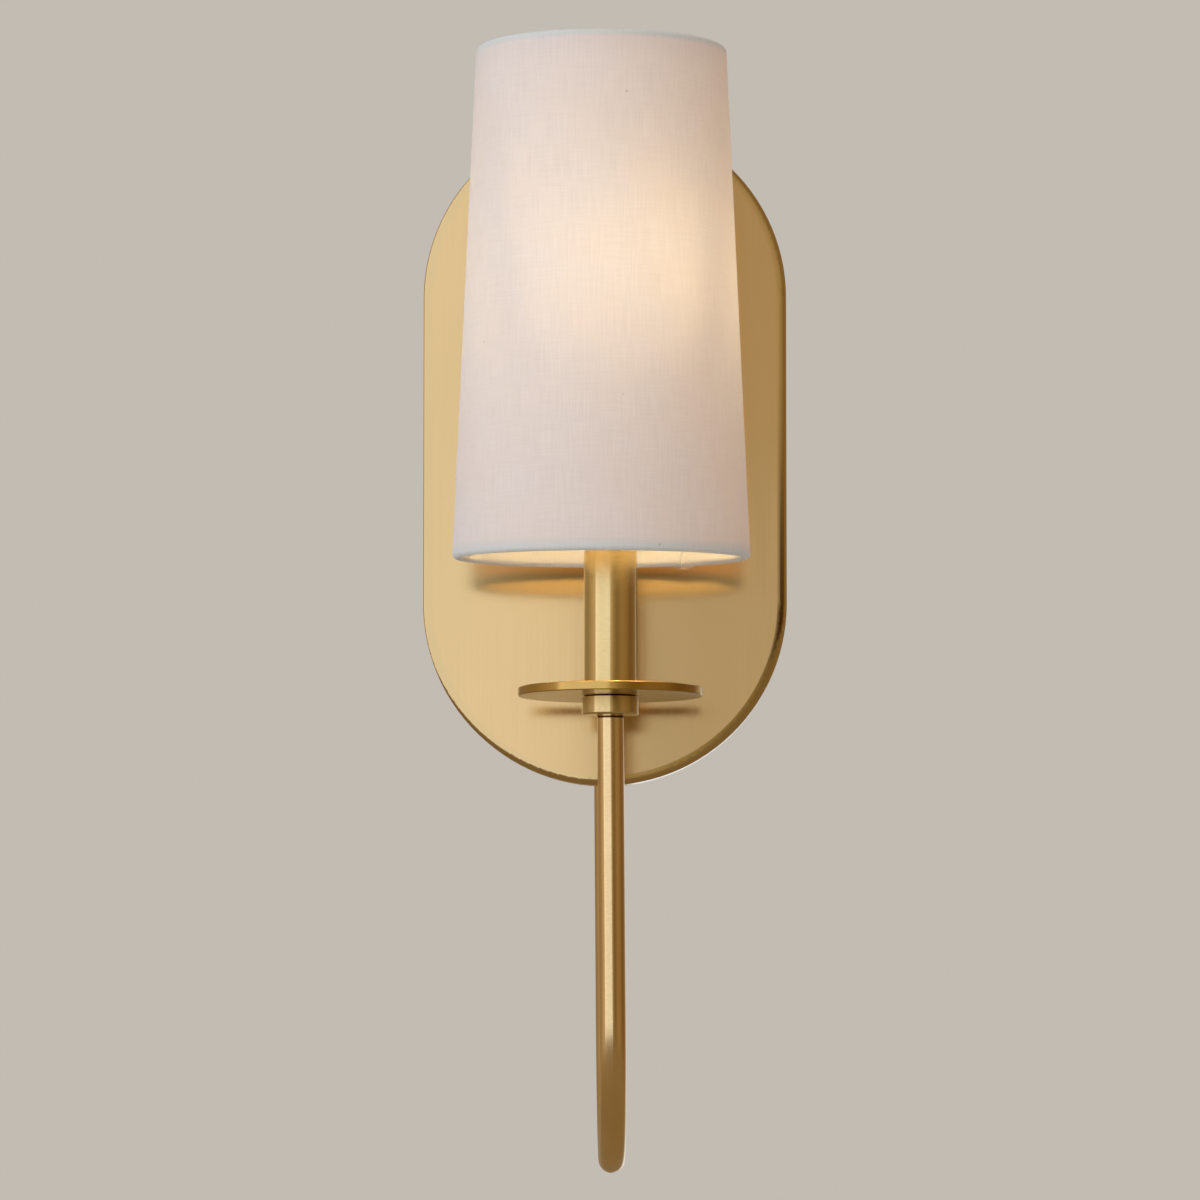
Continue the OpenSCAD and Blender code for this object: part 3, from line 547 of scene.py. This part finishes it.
def shadeProfile(height, lowRadius, highRadius):
    # Radius and height of the cloth's middle, from the turned-in edge at the bottom to the top's
    roll = shade["roll"]
    turn = shade["turnIn"]
    slope = (lowRadius - highRadius) / height
    lean = math.atan(slope)
    inset = roll - shade["linerInset"]

    def along(first, last, steps):
        for i in range(steps):
            share = i / steps
            yield tuple(a * (1 - share) + b * share for a, b in zip(first, last))

    def rolled(centre, level, first, last):
        steps = shade["rollRows"]
        for i in range(steps + 1):
            angle = first + (last - first) * i / steps
            yield centre + roll * math.cos(angle), level + roll * math.sin(angle)

    lowEdge = Vector((inset - slope * turn, turn))
    start = math.atan2(lowEdge.y, lowEdge.x) + math.acos(roll / lowEdge.length)
    lowRoll = list(rolled(lowRadius, 0.0, start, 2 * math.pi + lean))
    highEdge = Vector((inset + slope * turn, -turn))
    end = math.atan2(highEdge.y, highEdge.x) + 2 * math.pi - math.acos(roll / highEdge.length)
    highRoll = list(rolled(highRadius, height, lean, end))
    lowTip = (lowRadius + lowEdge.x, lowEdge.y)
    highTip = (highRadius + highEdge.x, height + highEdge.y)
    return [
        *along(lowTip, lowRoll[0], shade["turnRows"]),
        *lowRoll[:-1],
        *along(lowRoll[-1], highRoll[0], shade["wallRows"]),
        *highRoll[:-1],
        *along(highRoll[-1], highTip, shade["turnRows"]),
        highTip,
    ]


def addShadeCover():
    centres, radii, axis, right, back = shadeFrame()
    height = (centres[1] - centres[0]).length
    profile = shadeProfile(height, *radii)
    rows = len(profile)
    overlapAngle = shade["overlap"] / (sum(radii) / 2 + shade["roll"])
    seam = math.radians(shade["seamAt"])
    coneSine = math.sin(math.atan((radii[0] - radii[1]) / height))
    apex = (radii[0] + shade["roll"]) / coneSine

    bpy.ops.object.select_all(action="DESELECT")
    bpy.ops.mesh.primitive_grid_add(
        x_subdivisions=shade["columns"], y_subdivisions=rows - 1, size=2
    )
    cover = bpy.context.object
    cover.name = "linenShade"
    mesh = cover.data
    lengths = [0.0]
    for (r0, h0), (r1, h1) in zip(profile, profile[1:]):
        lengths.append(lengths[-1] + math.hypot(r1 - r0, h1 - h0))
    flat = {}
    for vertex in mesh.vertices:
        u = (vertex.co.x + 1) / 2
        row = round((vertex.co.y + 1) / 2 * (rows - 1))
        angle = seam - 2 * math.pi + u * (2 * math.pi + overlapAngle)
        radius, level = profile[row]
        # The end of the cloth lies over its start
        rise = min(max((u - shade["overlapFrom"]) / shade["overlapRise"], 0.0), 1.0)
        radius += rise * rise * (3 - 2 * rise) * (shade["cloth"] + shade["overlapGap"])
        direction = right * math.sin(angle) - back * math.cos(angle)
        vertex.co = centres[0] + axis * level + direction * radius
        spread = angle * coneSine
        reach = apex - lengths[row]
        flat[vertex.index] = (reach * math.sin(spread), apex - reach * math.cos(spread))
    layer = mesh.uv_layers.active or mesh.uv_layers.new(name="clothMap")
    layer.name = "clothMap"
    for loop in mesh.loops:
        layer.data[loop.index].uv = flat[loop.vertex_index]
    bpy.ops.object.mode_set(mode="EDIT")
    bpy.ops.mesh.select_all(action="SELECT")
    bpy.ops.mesh.normals_make_consistent(inside=False)
    bpy.ops.object.mode_set(mode="OBJECT")
    wall = cover.modifiers.new("thickness", "SOLIDIFY")
    wall.thickness = shade["cloth"]
    wall.offset = 0
    bpy.ops.object.modifier_apply(modifier="thickness")
    bpy.ops.object.shade_smooth_by_angle(angle=math.radians(40))

    # What the cloth measures before it is rolled up: a sector of a ring
    turned = (2 * math.pi + overlapAngle) * coneSine
    short = apex - lengths[-1]
    area = turned / 2 * (apex**2 - short**2)
    flatSize = (2 * apex * math.sin(turned / 2), apex - short * math.cos(turned / 2))
    firstWallRow = shade["turnRows"] + shade["rollRows"]
    lastWallRow = firstWallRow + shade["wallRows"]
    fan = {
        "apex": apex,
        "lowEdge": apex - lengths[firstWallRow],
        "highEdge": apex - lengths[lastWallRow],
    }
    return cover, flatSize, area, fan


linenLook = {  # plain-woven natural linen: uneven threads, cloudy, a few dark flecks of straw
    # The real threads are about 0.5 mm apart, finer than a pixel, so they are drawn coarser
    "warp": (0.6, 14.0, 1.0),
    "weft": (12.0, 0.6, 1.0),
    "cloud": (25.0, 25.0, 1.0),
    "thin": "#E6E6E3",
    "thick": "#EEEEEC",
    "stain": "#EFE9E0",
    "fleck": "#8C7A68",
    "flecksPerMetre": 90.0,  # cells in which a fleck can lie
    "fleckSize": (0.02, 0.05),  # in cells: dark up to the first, gone at the second
    "fleckDepth": 0.5,
    "fleckless": 0.72,  # share of the cells that hold none
    "stained": 0.3,
    "warpShare": 0.6,  # of the weave's relief, the rest being the weft's
    "roughness": 0.92,
    "specular": 0.2,
    "sheen": 0.2,
    "sheenRoughness": 0.5,
    "relief": 0.25,
    "reliefHeight": 0.00012,
    "through": 0.2,  # share of the light that the cloth scatters through
    "lamplight": "#E3DED8",  # the bulb's light after it has passed one face
    "bounced": "#FFAB52",  # painted glow for the faint light that bounces about inside and comes through anywhere
    "bouncedStrength": 0.11,
    "behind": (-0.115, -0.070),  # from here to here the painted glow grows, as the brass plate throws more and more of it back
    "behindStrength": 0.3,
    "lowFade": 0.003,  # the wires and the second layer of cloth stop it at the rolled edges
    "highFade": 0.0015,
    "paintedHemShade": "#F7F8F3",  # how much of its tone the cloth keeps at the rolled edges: painted shade there
}


def linen(fan):
    material, tree = newMaterial("wovenLinen")
    cloth = addNode(tree, "ShaderNodeUVMap", uv_map="clothMap").outputs[0]
    reach = addNode(
        tree, "ShaderNodeVectorMath", {0: cloth, 1: (0.0, fan["apex"], 0.0)}, operation="DISTANCE"
    )
    low = fan["lowEdge"]
    high = fan["highEdge"]
    fromLow = addNode(
        tree,
        "ShaderNodeMapRange",
        {"Value": reach, "From Min": low, "From Max": low - linenLook["lowFade"]},
    )
    fromHigh = addNode(
        tree,
        "ShaderNodeMapRange",
        {"Value": reach, "From Min": high, "From Max": high + linenLook["highFade"]},
    )
    single = addNode(tree, "ShaderNodeMath", {0: fromLow, 1: fromHigh}, operation="MULTIPLY")
    share = addNode(
        tree, "ShaderNodeMath", {0: single, 1: linenLook["through"]}, operation="MULTIPLY"
    )
    depth = addNode(
        tree,
        "ShaderNodeSeparateXYZ",
        {"Vector": addNode(tree, "ShaderNodeTexCoord").outputs["Object"]},
    ).outputs["Y"]
    strength = addNode(
        tree,
        "ShaderNodeMapRange",
        {
            "Value": depth,
            "From Min": linenLook["behind"][0],
            "From Max": linenLook["behind"][1],
            "To Min": linenLook["bouncedStrength"],
            "To Max": linenLook["behindStrength"],
        },
        interpolation_type="SMOOTHSTEP",
    )
    bounced = addNode(tree, "ShaderNodeMath", {0: single, 1: strength}, operation="MULTIPLY")
    warp = grainOf(tree, cloth, linenLook["warp"], 3.0)
    weft = grainOf(tree, cloth, linenLook["weft"], 3.0)
    cloud = grainOf(tree, cloth, linenLook["cloud"])
    warpShare = linenLook["warpShare"]
    threads = addNode(tree, "ShaderNodeMath", {0: warp, 1: warpShare}, operation="MULTIPLY")
    weave = addNode(
        tree, "ShaderNodeMath", {0: weft, 1: 1 - warpShare, 2: threads}, operation="MULTIPLY_ADD"
    )
    thickness = addNode(
        tree, "ShaderNodeMapRange", {"Value": weave, "From Min": 0.38, "From Max": 0.62}
    )
    body = addNode(
        tree,
        "ShaderNodeMix",
        {0: thickness, 6: linear(linenLook["thin"]), 7: linear(linenLook["thick"])},
        data_type="RGBA",
    )
    stain = addNode(
        tree,
        "ShaderNodeMapRange",
        {"Value": cloud, "From Min": 0.35, "From Max": 0.65, "To Max": linenLook["stained"]},
    )
    tinted = addNode(
        tree,
        "ShaderNodeMix",
        {0: stain, 6: body, 7: linear(linenLook["stain"])},
        data_type="RGBA",
    )
    cell = addNode(
        tree,
        "ShaderNodeTexVoronoi",
        {"Vector": cloth, "Scale": linenLook["flecksPerMetre"], "Randomness": 1.0},
    )
    speck = addNode(
        tree,
        "ShaderNodeMapRange",
        {
            "Value": cell.outputs["Distance"],
            "From Min": linenLook["fleckSize"][0],
            "From Max": linenLook["fleckSize"][1],
            "To Min": linenLook["fleckDepth"],
            "To Max": 0.0,
        },
    )
    chance = addNode(tree, "ShaderNodeSeparateColor", {"Color": cell.outputs["Color"]})
    picked = addNode(
        tree, "ShaderNodeMath", {0: chance, 1: linenLook["fleckless"]}, operation="GREATER_THAN"
    )
    fleck = addNode(tree, "ShaderNodeMath", {0: speck, 1: picked}, operation="MULTIPLY")
    colour = addNode(
        tree,
        "ShaderNodeMix",
        {0: fleck, 6: tinted, 7: linear(linenLook["fleck"])},
        data_type="RGBA",
    ).outputs[2]
    # Painted shade: the rolled edges are drawn a little darker
    rolled = addNode(tree, "ShaderNodeMath", {0: 1.0, 1: single}, operation="SUBTRACT")
    colour = addNode(
        tree,
        "ShaderNodeMix",
        {0: rolled, 6: colour, 7: linear(linenLook["paintedHemShade"])},
        data_type="RGBA",
        blend_type="MULTIPLY",
    ).outputs[2]
    relief = addNode(
        tree,
        "ShaderNodeBump",
        {
            "Strength": linenLook["relief"],
            "Distance": linenLook["reliefHeight"],
            "Height": weave,
        },
    ).outputs[0]
    front = addNode(
        tree,
        "ShaderNodeBsdfPrincipled",
        {
            "Base Color": colour,
            "Roughness": linenLook["roughness"],
            "Specular IOR Level": linenLook["specular"],
            "Sheen Weight": linenLook["sheen"],
            "Sheen Roughness": linenLook["sheenRoughness"],
            # Painted glow: the cloth gives off the bounced light itself
            "Emission Color": linear(linenLook["bounced"]),
            "Emission Strength": bounced,
            "Normal": relief,
        },
    )
    through = addNode(tree, "ShaderNodeBsdfTranslucent", {"Color": colour, "Normal": relief})
    scattering = addNode(tree, "ShaderNodeMixShader", {0: share, 1: front, 2: through})
    # The bulb's light passes the inner face and is caught by the outer one
    ray = addNode(tree, "ShaderNodeLightPath")
    clear = addNode(tree, "ShaderNodeBsdfTransparent", {"Color": linear(linenLook["lamplight"])})
    lit = addNode(
        tree,
        "ShaderNodeMixShader",
        {0: ray.outputs["Is Shadow Ray"], 1: scattering, 2: clear},
    )
    addNode(tree, "ShaderNodeOutputMaterial", {"Surface": lit})
    return material


filmLook = {  # matt white polystyrene film, slightly cloudy, that lets half of the light through
    "cloud": (8.0, 8.0, 14.0),
    "light": "#F6F1EA",
    "dark": "#EFE9E0",
    "through": 0.45,
    "lamplight": "#C4C4C4",
    "lapShadow": "#A8957B",  # the cut edge of the film, laid over its own start, drawn as a dark line: the small shadow it casts, painted
    "lapWidth": 0.0004,
    "roughness": 0.55,
    "specular": 0.4,
}


def linerFilm():
    material, tree = newMaterial("styreneFilm")
    place = addNode(tree, "ShaderNodeTexCoord").outputs["Object"]
    cloud = grainOf(tree, place, filmLook["cloud"], 3.0)
    colour = addNode(
        tree,
        "ShaderNodeMix",
        {0: cloud, 6: linear(filmLook["dark"]), 7: linear(filmLook["light"])},
        data_type="RGBA",
    ).outputs[2]
    centres, _, _, right, back = shadeFrame()
    seam = math.radians(shade["seamAt"])
    outward = right * math.sin(seam) - back * math.cos(seam)
    sideways = right * math.cos(seam) + back * math.sin(seam)
    offset = addNode(
        tree, "ShaderNodeVectorMath", {0: place, 1: centres[0]}, operation="SUBTRACT"
    )
    behind = addNode(
        tree, "ShaderNodeVectorMath", {0: offset, 1: outward}, operation="DOT_PRODUCT"
    ).outputs["Value"]
    beside = addNode(
        tree, "ShaderNodeVectorMath", {0: offset, 1: sideways}, operation="DOT_PRODUCT"
    ).outputs["Value"]
    # Painted shadow: a thin dark line beside the film's cut edge at the seam
    near = addNode(
        tree, "ShaderNodeMath", {0: beside, 1: 0.0, 2: filmLook["lapWidth"]}, operation="COMPARE"
    )
    there = addNode(tree, "ShaderNodeMath", {0: behind, 1: 0.0}, operation="GREATER_THAN")
    lapShadow = addNode(tree, "ShaderNodeMath", {0: near, 1: there}, operation="MULTIPLY")
    colour = addNode(
        tree,
        "ShaderNodeMix",
        {0: lapShadow, 6: colour, 7: linear(filmLook["lapShadow"])},
        data_type="RGBA",
    ).outputs[2]
    front = addNode(
        tree,
        "ShaderNodeBsdfPrincipled",
        {
            "Base Color": colour,
            "Roughness": filmLook["roughness"],
            "Specular IOR Level": filmLook["specular"],
        },
    )
    through = addNode(tree, "ShaderNodeBsdfTranslucent", {"Color": colour})
    film = addNode(tree, "ShaderNodeMixShader", {0: filmLook["through"], 1: front, 2: through})
    ray = addNode(tree, "ShaderNodeLightPath")
    clear = addNode(tree, "ShaderNodeBsdfTransparent", {"Color": linear(filmLook["lamplight"])})
    lit = addNode(
        tree, "ShaderNodeMixShader", {0: ray.outputs["Is Shadow Ray"], 1: film, 2: clear}
    )
    addNode(tree, "ShaderNodeOutputMaterial", {"Surface": lit})
    return material


cover, flatSize, clothArea, fan = addShadeCover()
cover.data.materials.append(linen(fan))
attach(cover, "shade")
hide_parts("shade_cover")
paint(linerFilm(), "shade_liner")

linenThread = {  # a few ends of the linen's own yarn, unspun and fluffy
    "name": "looseLinenYarn",
    "grain": (0.3, 0.3, 0.3),
    "cloud": (2.0, 2.0, 2.0),
    "light": "#EFE8DC",
    "dark": "#DFD3C1",
    "marks": 0.3,
    "markTone": "#B9A88F",
    "metal": 0.0,
    "roughness": 0.95,
    "relief": 0.5,
}
# Each end of yarn: where it leaves the hem along it, its steps along, outward and down, all in mm
yarnEnds = [
    (-1.6, [(-0.5, 0.1, 0.5), (-0.8, 0.1, 0.3), (-0.9, 0.0, 0.1), (-0.7, 0.0, -0.2)]),
    (-0.9, [(-0.3, 0.2, 0.6), (-0.7, 0.2, 0.5), (-0.9, 0.1, 0.1), (-0.8, 0.0, -0.1)]),
    (-0.3, [(-0.2, -0.1, 0.7), (-0.5, 0.0, 0.6), (-0.8, 0.1, 0.3), (-0.6, 0.1, 0.0)]),
    (0.2, [(0.1, 0.1, 0.7), (0.3, 0.1, 0.5), (0.7, 0.1, 0.3), (0.7, 0.0, 0.0)]),
    (0.7, [(-0.1, -0.2, 0.6), (-0.4, -0.1, 0.5), (-0.6, 0.1, 0.4), (-0.8, 0.1, 0.1)]),
    (1.2, [(0.4, 0.0, 0.6), (0.7, 0.1, 0.3), (0.9, 0.0, 0.0), (0.7, 0.0, -0.2)]),
]
yarn = {
    "radius": 0.00022,
    "taper": 0.85,  # from one step to the next
    "sides": 6,
    "below": 0.0002,  # from the foot of the hem up to where the ends leave it
}


def addYarnEnds():
    centres, radii, axis, right, back = shadeFrame()
    seam = math.radians(shade["seamAt"])
    outward = right * math.sin(seam) - back * math.cos(seam)
    along = right * math.cos(seam) + back * math.sin(seam)
    hem = centres[0] + outward * radii[0] - axis * (shade["roll"] - yarn["below"])
    made = []
    for start, steps in yarnEnds:
        moves = [(along * a + outward * b - axis * c) / 1000 for a, b, c in steps]
        bpy.ops.object.select_all(action="DESELECT")
        bpy.ops.mesh.primitive_circle_add(
            vertices=yarn["sides"],
            radius=yarn["radius"],
            fill_type="NGON",
            location=hem + along * start / 1000,
            rotation=sum(moves, Vector()).to_track_quat("Z", "Y").to_euler(),
        )
        bpy.ops.object.mode_set(mode="EDIT")
        bpy.ops.mesh.select_all(action="SELECT")
        for move in moves:
            bpy.ops.mesh.extrude_region_move(TRANSFORM_OT_translate={"value": move})
            bpy.ops.transform.resize(value=(yarn["taper"],) * 3)
        bpy.ops.mesh.select_all(action="SELECT")
        bpy.ops.mesh.normals_make_consistent(inside=False)
        bpy.ops.object.mode_set(mode="OBJECT")
        made.append(bpy.context.object)
    bpy.ops.object.select_all(action="DESELECT")
    for piece in made:
        piece.select_set(True)
    bpy.context.view_layer.objects.active = made[0]
    bpy.ops.object.join()
    ends = bpy.context.object
    ends.name = "frayedYarn"
    bpy.ops.object.transform_apply(location=True, rotation=True, scale=True)
    bpy.ops.object.shade_smooth()
    return ends


frayed = addYarnEnds()
frayed.data.materials.append(hardFinish(linenThread))
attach(frayed, "shade")
print("wall lamp: shade done")


# Bulb: clear glass round light filaments
glassLook = {  # thin blown glass: clear, glossy, with a faint ripple
    "ripple": (9.0, 9.0, 20.0),
    "relief": 0.1,
    "reliefHeight": 0.0001,
    "tone": "#F8FBFB",
    "through": "#FBFBFB",  # the light that passes it on its way to other pieces
    "roughness": 0.02,
    "bending": 1.5,  # refractive index
}


def clearGlass():
    material, tree = newMaterial("blownGlass")
    place = addNode(tree, "ShaderNodeTexCoord").outputs["Object"]
    ripple = grainOf(tree, place, glassLook["ripple"], 1.0)
    relief = addNode(
        tree,
        "ShaderNodeBump",
        {
            "Strength": glassLook["relief"],
            "Distance": glassLook["reliefHeight"],
            "Height": ripple,
        },
    )
    glass = addNode(
        tree,
        "ShaderNodeBsdfPrincipled",
        {
            "Base Color": linear(glassLook["tone"]),
            "Roughness": glassLook["roughness"],
            "IOR": glassLook["bending"],
            "Transmission Weight": 1.0,
            "Normal": relief,
        },
    )
    ray = addNode(tree, "ShaderNodeLightPath")
    clear = addNode(tree, "ShaderNodeBsdfTransparent", {"Color": linear(glassLook["through"])})
    lit = addNode(
        tree, "ShaderNodeMixShader", {0: ray.outputs["Is Shadow Ray"], 1: glass, 2: clear}
    )
    addNode(tree, "ShaderNodeOutputMaterial", {"Surface": lit})
    return material


phosphorLook = {  # yellow phosphor round a string of light chips: a bright, faintly banded rod
    "bands": (3.0, 3.0, 1.0),
    "tone": "#F2B860",
    "dimmer": "#FFB45A",
    "brighter": "#FFCE85",
    "brightness": 12.0,
    "roughness": 0.6,
}


def glowingPhosphor():
    material, tree = newMaterial("glowingPhosphor")
    place = addNode(tree, "ShaderNodeTexCoord").outputs["Object"]
    band = grainOf(tree, place, phosphorLook["bands"], 1.0)
    colour = addNode(
        tree,
        "ShaderNodeMix",
        {0: band, 6: linear(phosphorLook["dimmer"]), 7: linear(phosphorLook["brighter"])},
        data_type="RGBA",
    )
    shader = addNode(
        tree,
        "ShaderNodeBsdfPrincipled",
        {
            "Base Color": linear(phosphorLook["tone"]),
            "Roughness": phosphorLook["roughness"],
            "Emission Color": colour,
            "Emission Strength": phosphorLook["brightness"],
        },
    )
    addNode(tree, "ShaderNodeOutputMaterial", {"Surface": shader})
    return material


glow = {
    "colour": (1.0, 0.80, 0.50),
    "power": 0.088,  # W for each of the lights in the row
    "radius": 0.005,
    "spacing": 0.011,
    "shift": (0.005, -0.004, 0.004),  # from the filaments' middle to the row's middle
}


def addGlow():
    low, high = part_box("bulb_filaments")
    middle = (Vector(low) + Vector(high)) / 2 + Vector(glow["shift"])
    bulb = frame["bodies"]["bulb"]
    for step in (-1, 0, 1):
        place = middle + Vector((0, 0, step * glow["spacing"]))
        bpy.ops.object.light_add(type="POINT", location=place)
        light = bpy.context.object
        light.name = "bulbGlow"
        light.data.color = glow["colour"]
        light.data.energy = glow["power"]
        light.data.shadow_soft_size = glow["radius"]
        light.parent = bulb
        light.matrix_parent_inverse = bulb.matrix_world.inverted()


paint(clearGlass(), "bulb_glass", "bulb_stem")
paint(glowingPhosphor(), "bulb_filaments")
addGlow()
print("wall lamp: bulb done")

# Floor and studio light
studio = {
    "floorAt": -0.9,
    "floorSize": 200,
    "floorTone": "#DCDAD6",
    "floorRoughness": 0.9,
    "floorSpecular": 0.1,
    "nearMirrored": "#8A7659",  # what the brass mirrors of the floor close by
    "farFrom": 2.0,  # metres from the lamp where it starts to mirror the tones below instead
    "farAt": 4.0,
    "seen": "#C2BCB3",  # how the camera sees floor and air, with no horizon between them
    "ambientLeft": "#DDE6EE",  # soft light on cloth and plastic, from the left and the right
    "ambientRight": "#D0BDB0",
    "ambientTurn": 0.6,  # how far to each side, of 1, it goes over from one to the other
    "ambientStrength": 0.8,
    "ceiling": "#FFFCF7",
    "ceilingFrom": 45.0,  # degrees above the horizon, and how softly it starts
    "ceilingSoft": 20.0,
    # What the brass mirrors round the lamp, by degrees to the right of the camera
    "round": [
        (-180, "#927F61"),
        (-110, "#9E8970"),
        (-84, "#C2AC93"),
        (-66, "#CEC1BD"),
        (-58, "#A29FA4"),
        (-45, "#908F95"),
        (-1.2, "#908F95"),
        (-0.4, "#DBCFC5"),
        (2, "#DBCFC5"),
        (12, "#3E260A"),
        (26, "#3E260A"),
        (31, "#896F49"),
        (38, "#8E7450"),
        (50, "#9B8460"),
        (72, "#937852"),
        (96, "#765D3F"),
        (130, "#896F53"),
        (180, "#927E5E"),
    ],
    # What differs from it on the floor and higher up
    "floorRound": {-0.4: "#B1A37F", 2: "#B1A37F", 12: "#857353", 26: "#857353"},
    "higherRound": {-0.4: "#C9B59D", 2: "#C9B59D", 12: "#B7A588", 26: "#98845C"},
    "higherFrom": 4.2,  # degrees above the horizon where it starts, and where it is reached
    "higherAt": 5.6,
}


def mirroredRound(tree, apart, changed):
    # The tones that stand round the lamp, those at some degrees changed
    nearer = addNode(tree, "ShaderNodeMath", {0: apart.outputs["Y"], 1: -1.0}, operation="MULTIPLY")
    turn = addNode(
        tree, "ShaderNodeMath", {0: apart.outputs["X"], 1: nearer}, operation="ARCTAN2"
    )
    share = addNode(
        tree,
        "ShaderNodeMapRange",
        {"Value": turn, "From Min": -math.pi, "From Max": math.pi},
    )
    band = addNode(tree, "ShaderNodeValToRGB", {"Fac": share})
    stops = band.color_ramp.elements
    for i, (degrees, tone) in enumerate(studio["round"]):
        place = (degrees + 180) / 360
        stop = stops[0] if i == 0 else stops.new(place)
        stop.position = place
        stop.color = linear(changed.get(degrees, tone))
    stops.remove(stops[len(stops) - 1])
    return band


def addFloor():
    bpy.ops.object.select_all(action="DESELECT")
    bpy.ops.mesh.primitive_plane_add(
        size=studio["floorSize"], location=(0, 0, studio["floorAt"])
    )
    floor = bpy.context.object
    floor.name = "studioFloor"
    material, tree = newMaterial("paleFloor")
    place = addNode(tree, "ShaderNodeTexCoord").outputs["Object"]
    reach = addNode(tree, "ShaderNodeVectorMath", {0: place}, operation="LENGTH").outputs["Value"]
    far = addNode(
        tree,
        "ShaderNodeMapRange",
        {"Value": reach, "From Min": studio["farFrom"], "From Max": studio["farAt"]},
    )
    apart = addNode(tree, "ShaderNodeSeparateXYZ", {"Vector": place})
    farTone = mirroredRound(tree, apart, studio["floorRound"])
    tone = addNode(
        tree,
        "ShaderNodeMix",
        {0: far, 6: linear(studio["nearMirrored"]), 7: farTone},
        data_type="RGBA",
    )
    mirrored = addNode(tree, "ShaderNodeEmission", {"Color": tone})
    painted = addNode(
        tree,
        "ShaderNodeBsdfPrincipled",
        {
            "Base Color": linear(studio["floorTone"]),
            "Roughness": studio["floorRoughness"],
            "Specular IOR Level": studio["floorSpecular"],
        },
    )
    ray = addNode(tree, "ShaderNodeLightPath")
    lit = addNode(
        tree, "ShaderNodeMixShader", {0: ray.outputs["Is Glossy Ray"], 1: painted, 2: mirrored}
    )
    plain = addNode(tree, "ShaderNodeEmission", {"Color": linear(studio["seen"])})
    shown = addNode(
        tree, "ShaderNodeMixShader", {0: ray.outputs["Is Camera Ray"], 1: lit, 2: plain}
    )
    addNode(tree, "ShaderNodeOutputMaterial", {"Surface": shown})
    floor.data.materials.append(material)


def addWorld():
    world = bpy.data.worlds.new("studioAir")
    scene.world = world
    world.use_nodes = True
    tree = world.node_tree
    tree.nodes.clear()
    direction = addNode(tree, "ShaderNodeTexCoord").outputs["Generated"]
    apart = addNode(tree, "ShaderNodeSeparateXYZ", {"Vector": direction})
    height = addNode(tree, "ShaderNodeMath", {0: apart.outputs["Z"]}, operation="ARCSINE")
    higher = addNode(
        tree,
        "ShaderNodeMapRange",
        {
            "Value": height,
            "From Min": math.radians(studio["higherFrom"]),
            "From Max": math.radians(studio["higherAt"]),
        },
        interpolation_type="SMOOTHSTEP",
    )
    walls = addNode(
        tree,
        "ShaderNodeMix",
        {
            0: higher,
            6: mirroredRound(tree, apart, {}),
            7: mirroredRound(tree, apart, studio["higherRound"]),
        },
        data_type="RGBA",
    )
    start = math.radians(studio["ceilingFrom"])
    above = addNode(
        tree,
        "ShaderNodeMapRange",
        {
            "Value": height,
            "From Min": start,
            "From Max": start + math.radians(studio["ceilingSoft"]),
        },
        interpolation_type="SMOOTHSTEP",
    )
    mirrored = addNode(
        tree,
        "ShaderNodeMix",
        {0: above, 6: walls, 7: linear(studio["ceiling"])},
        data_type="RGBA",
    )
    side = addNode(
        tree,
        "ShaderNodeMapRange",
        {
            "Value": apart.outputs["X"],
            "From Min": -studio["ambientTurn"],
            "From Max": studio["ambientTurn"],
        },
        interpolation_type="SMOOTHSTEP",
    )
    ambient = addNode(
        tree,
        "ShaderNodeMix",
        {
            0: side,
            6: linear(studio["ambientLeft"], studio["ambientStrength"]),
            7: linear(studio["ambientRight"], studio["ambientStrength"]),
        },
        data_type="RGBA",
    )
    ray = addNode(tree, "ShaderNodeLightPath")
    light = addNode(
        tree,
        "ShaderNodeMix",
        {0: ray.outputs["Is Glossy Ray"], 6: ambient, 7: mirrored},
        data_type="RGBA",
    )
    seen = addNode(
        tree,
        "ShaderNodeMix",
        {0: ray.outputs["Is Camera Ray"], 6: light, 7: linear(studio["seen"])},
        data_type="RGBA",
    )
    sky = addNode(tree, "ShaderNodeBackground", {"Color": seen, "Strength": 1.0})
    addNode(tree, "ShaderNodeOutputWorld", {"Surface": sky})


softbox = {  # a tall panel of cool light on the left
    "turn": -31.4,  # degrees to the right of the camera
    "distance": 1.1,
    "wide": 1.301,
    "low": -0.40,
    "high": 1.30,
    "radiance": 0.75,
    "colour": (1.0, 1.015, 1.17),
}


def addSoftbox():
    turn = math.radians(softbox["turn"])
    middle = (softbox["low"] + softbox["high"]) / 2
    tall = softbox["high"] - softbox["low"]
    place = Vector(
        (softbox["distance"] * math.sin(turn), -softbox["distance"] * math.cos(turn), middle)
    )
    facing = Vector((-place.x, -place.y, 0)).to_track_quat("-Z", "Y").to_euler()
    bpy.ops.object.light_add(type="AREA", location=place, rotation=facing)
    light = bpy.context.object
    light.name = "softbox"
    light.data.shape = "RECTANGLE"
    light.data.size = softbox["wide"]
    light.data.size_y = tall
    light.data.energy = softbox["radiance"] * math.pi * softbox["wide"] * tall
    light.data.color = softbox["colour"]
    light.visible_camera = False


addFloor()
addWorld()
addSoftbox()
scene.view_settings.view_transform = "Standard"
print("wall lamp: studio done, denoising", scene.cycles.use_denoising)
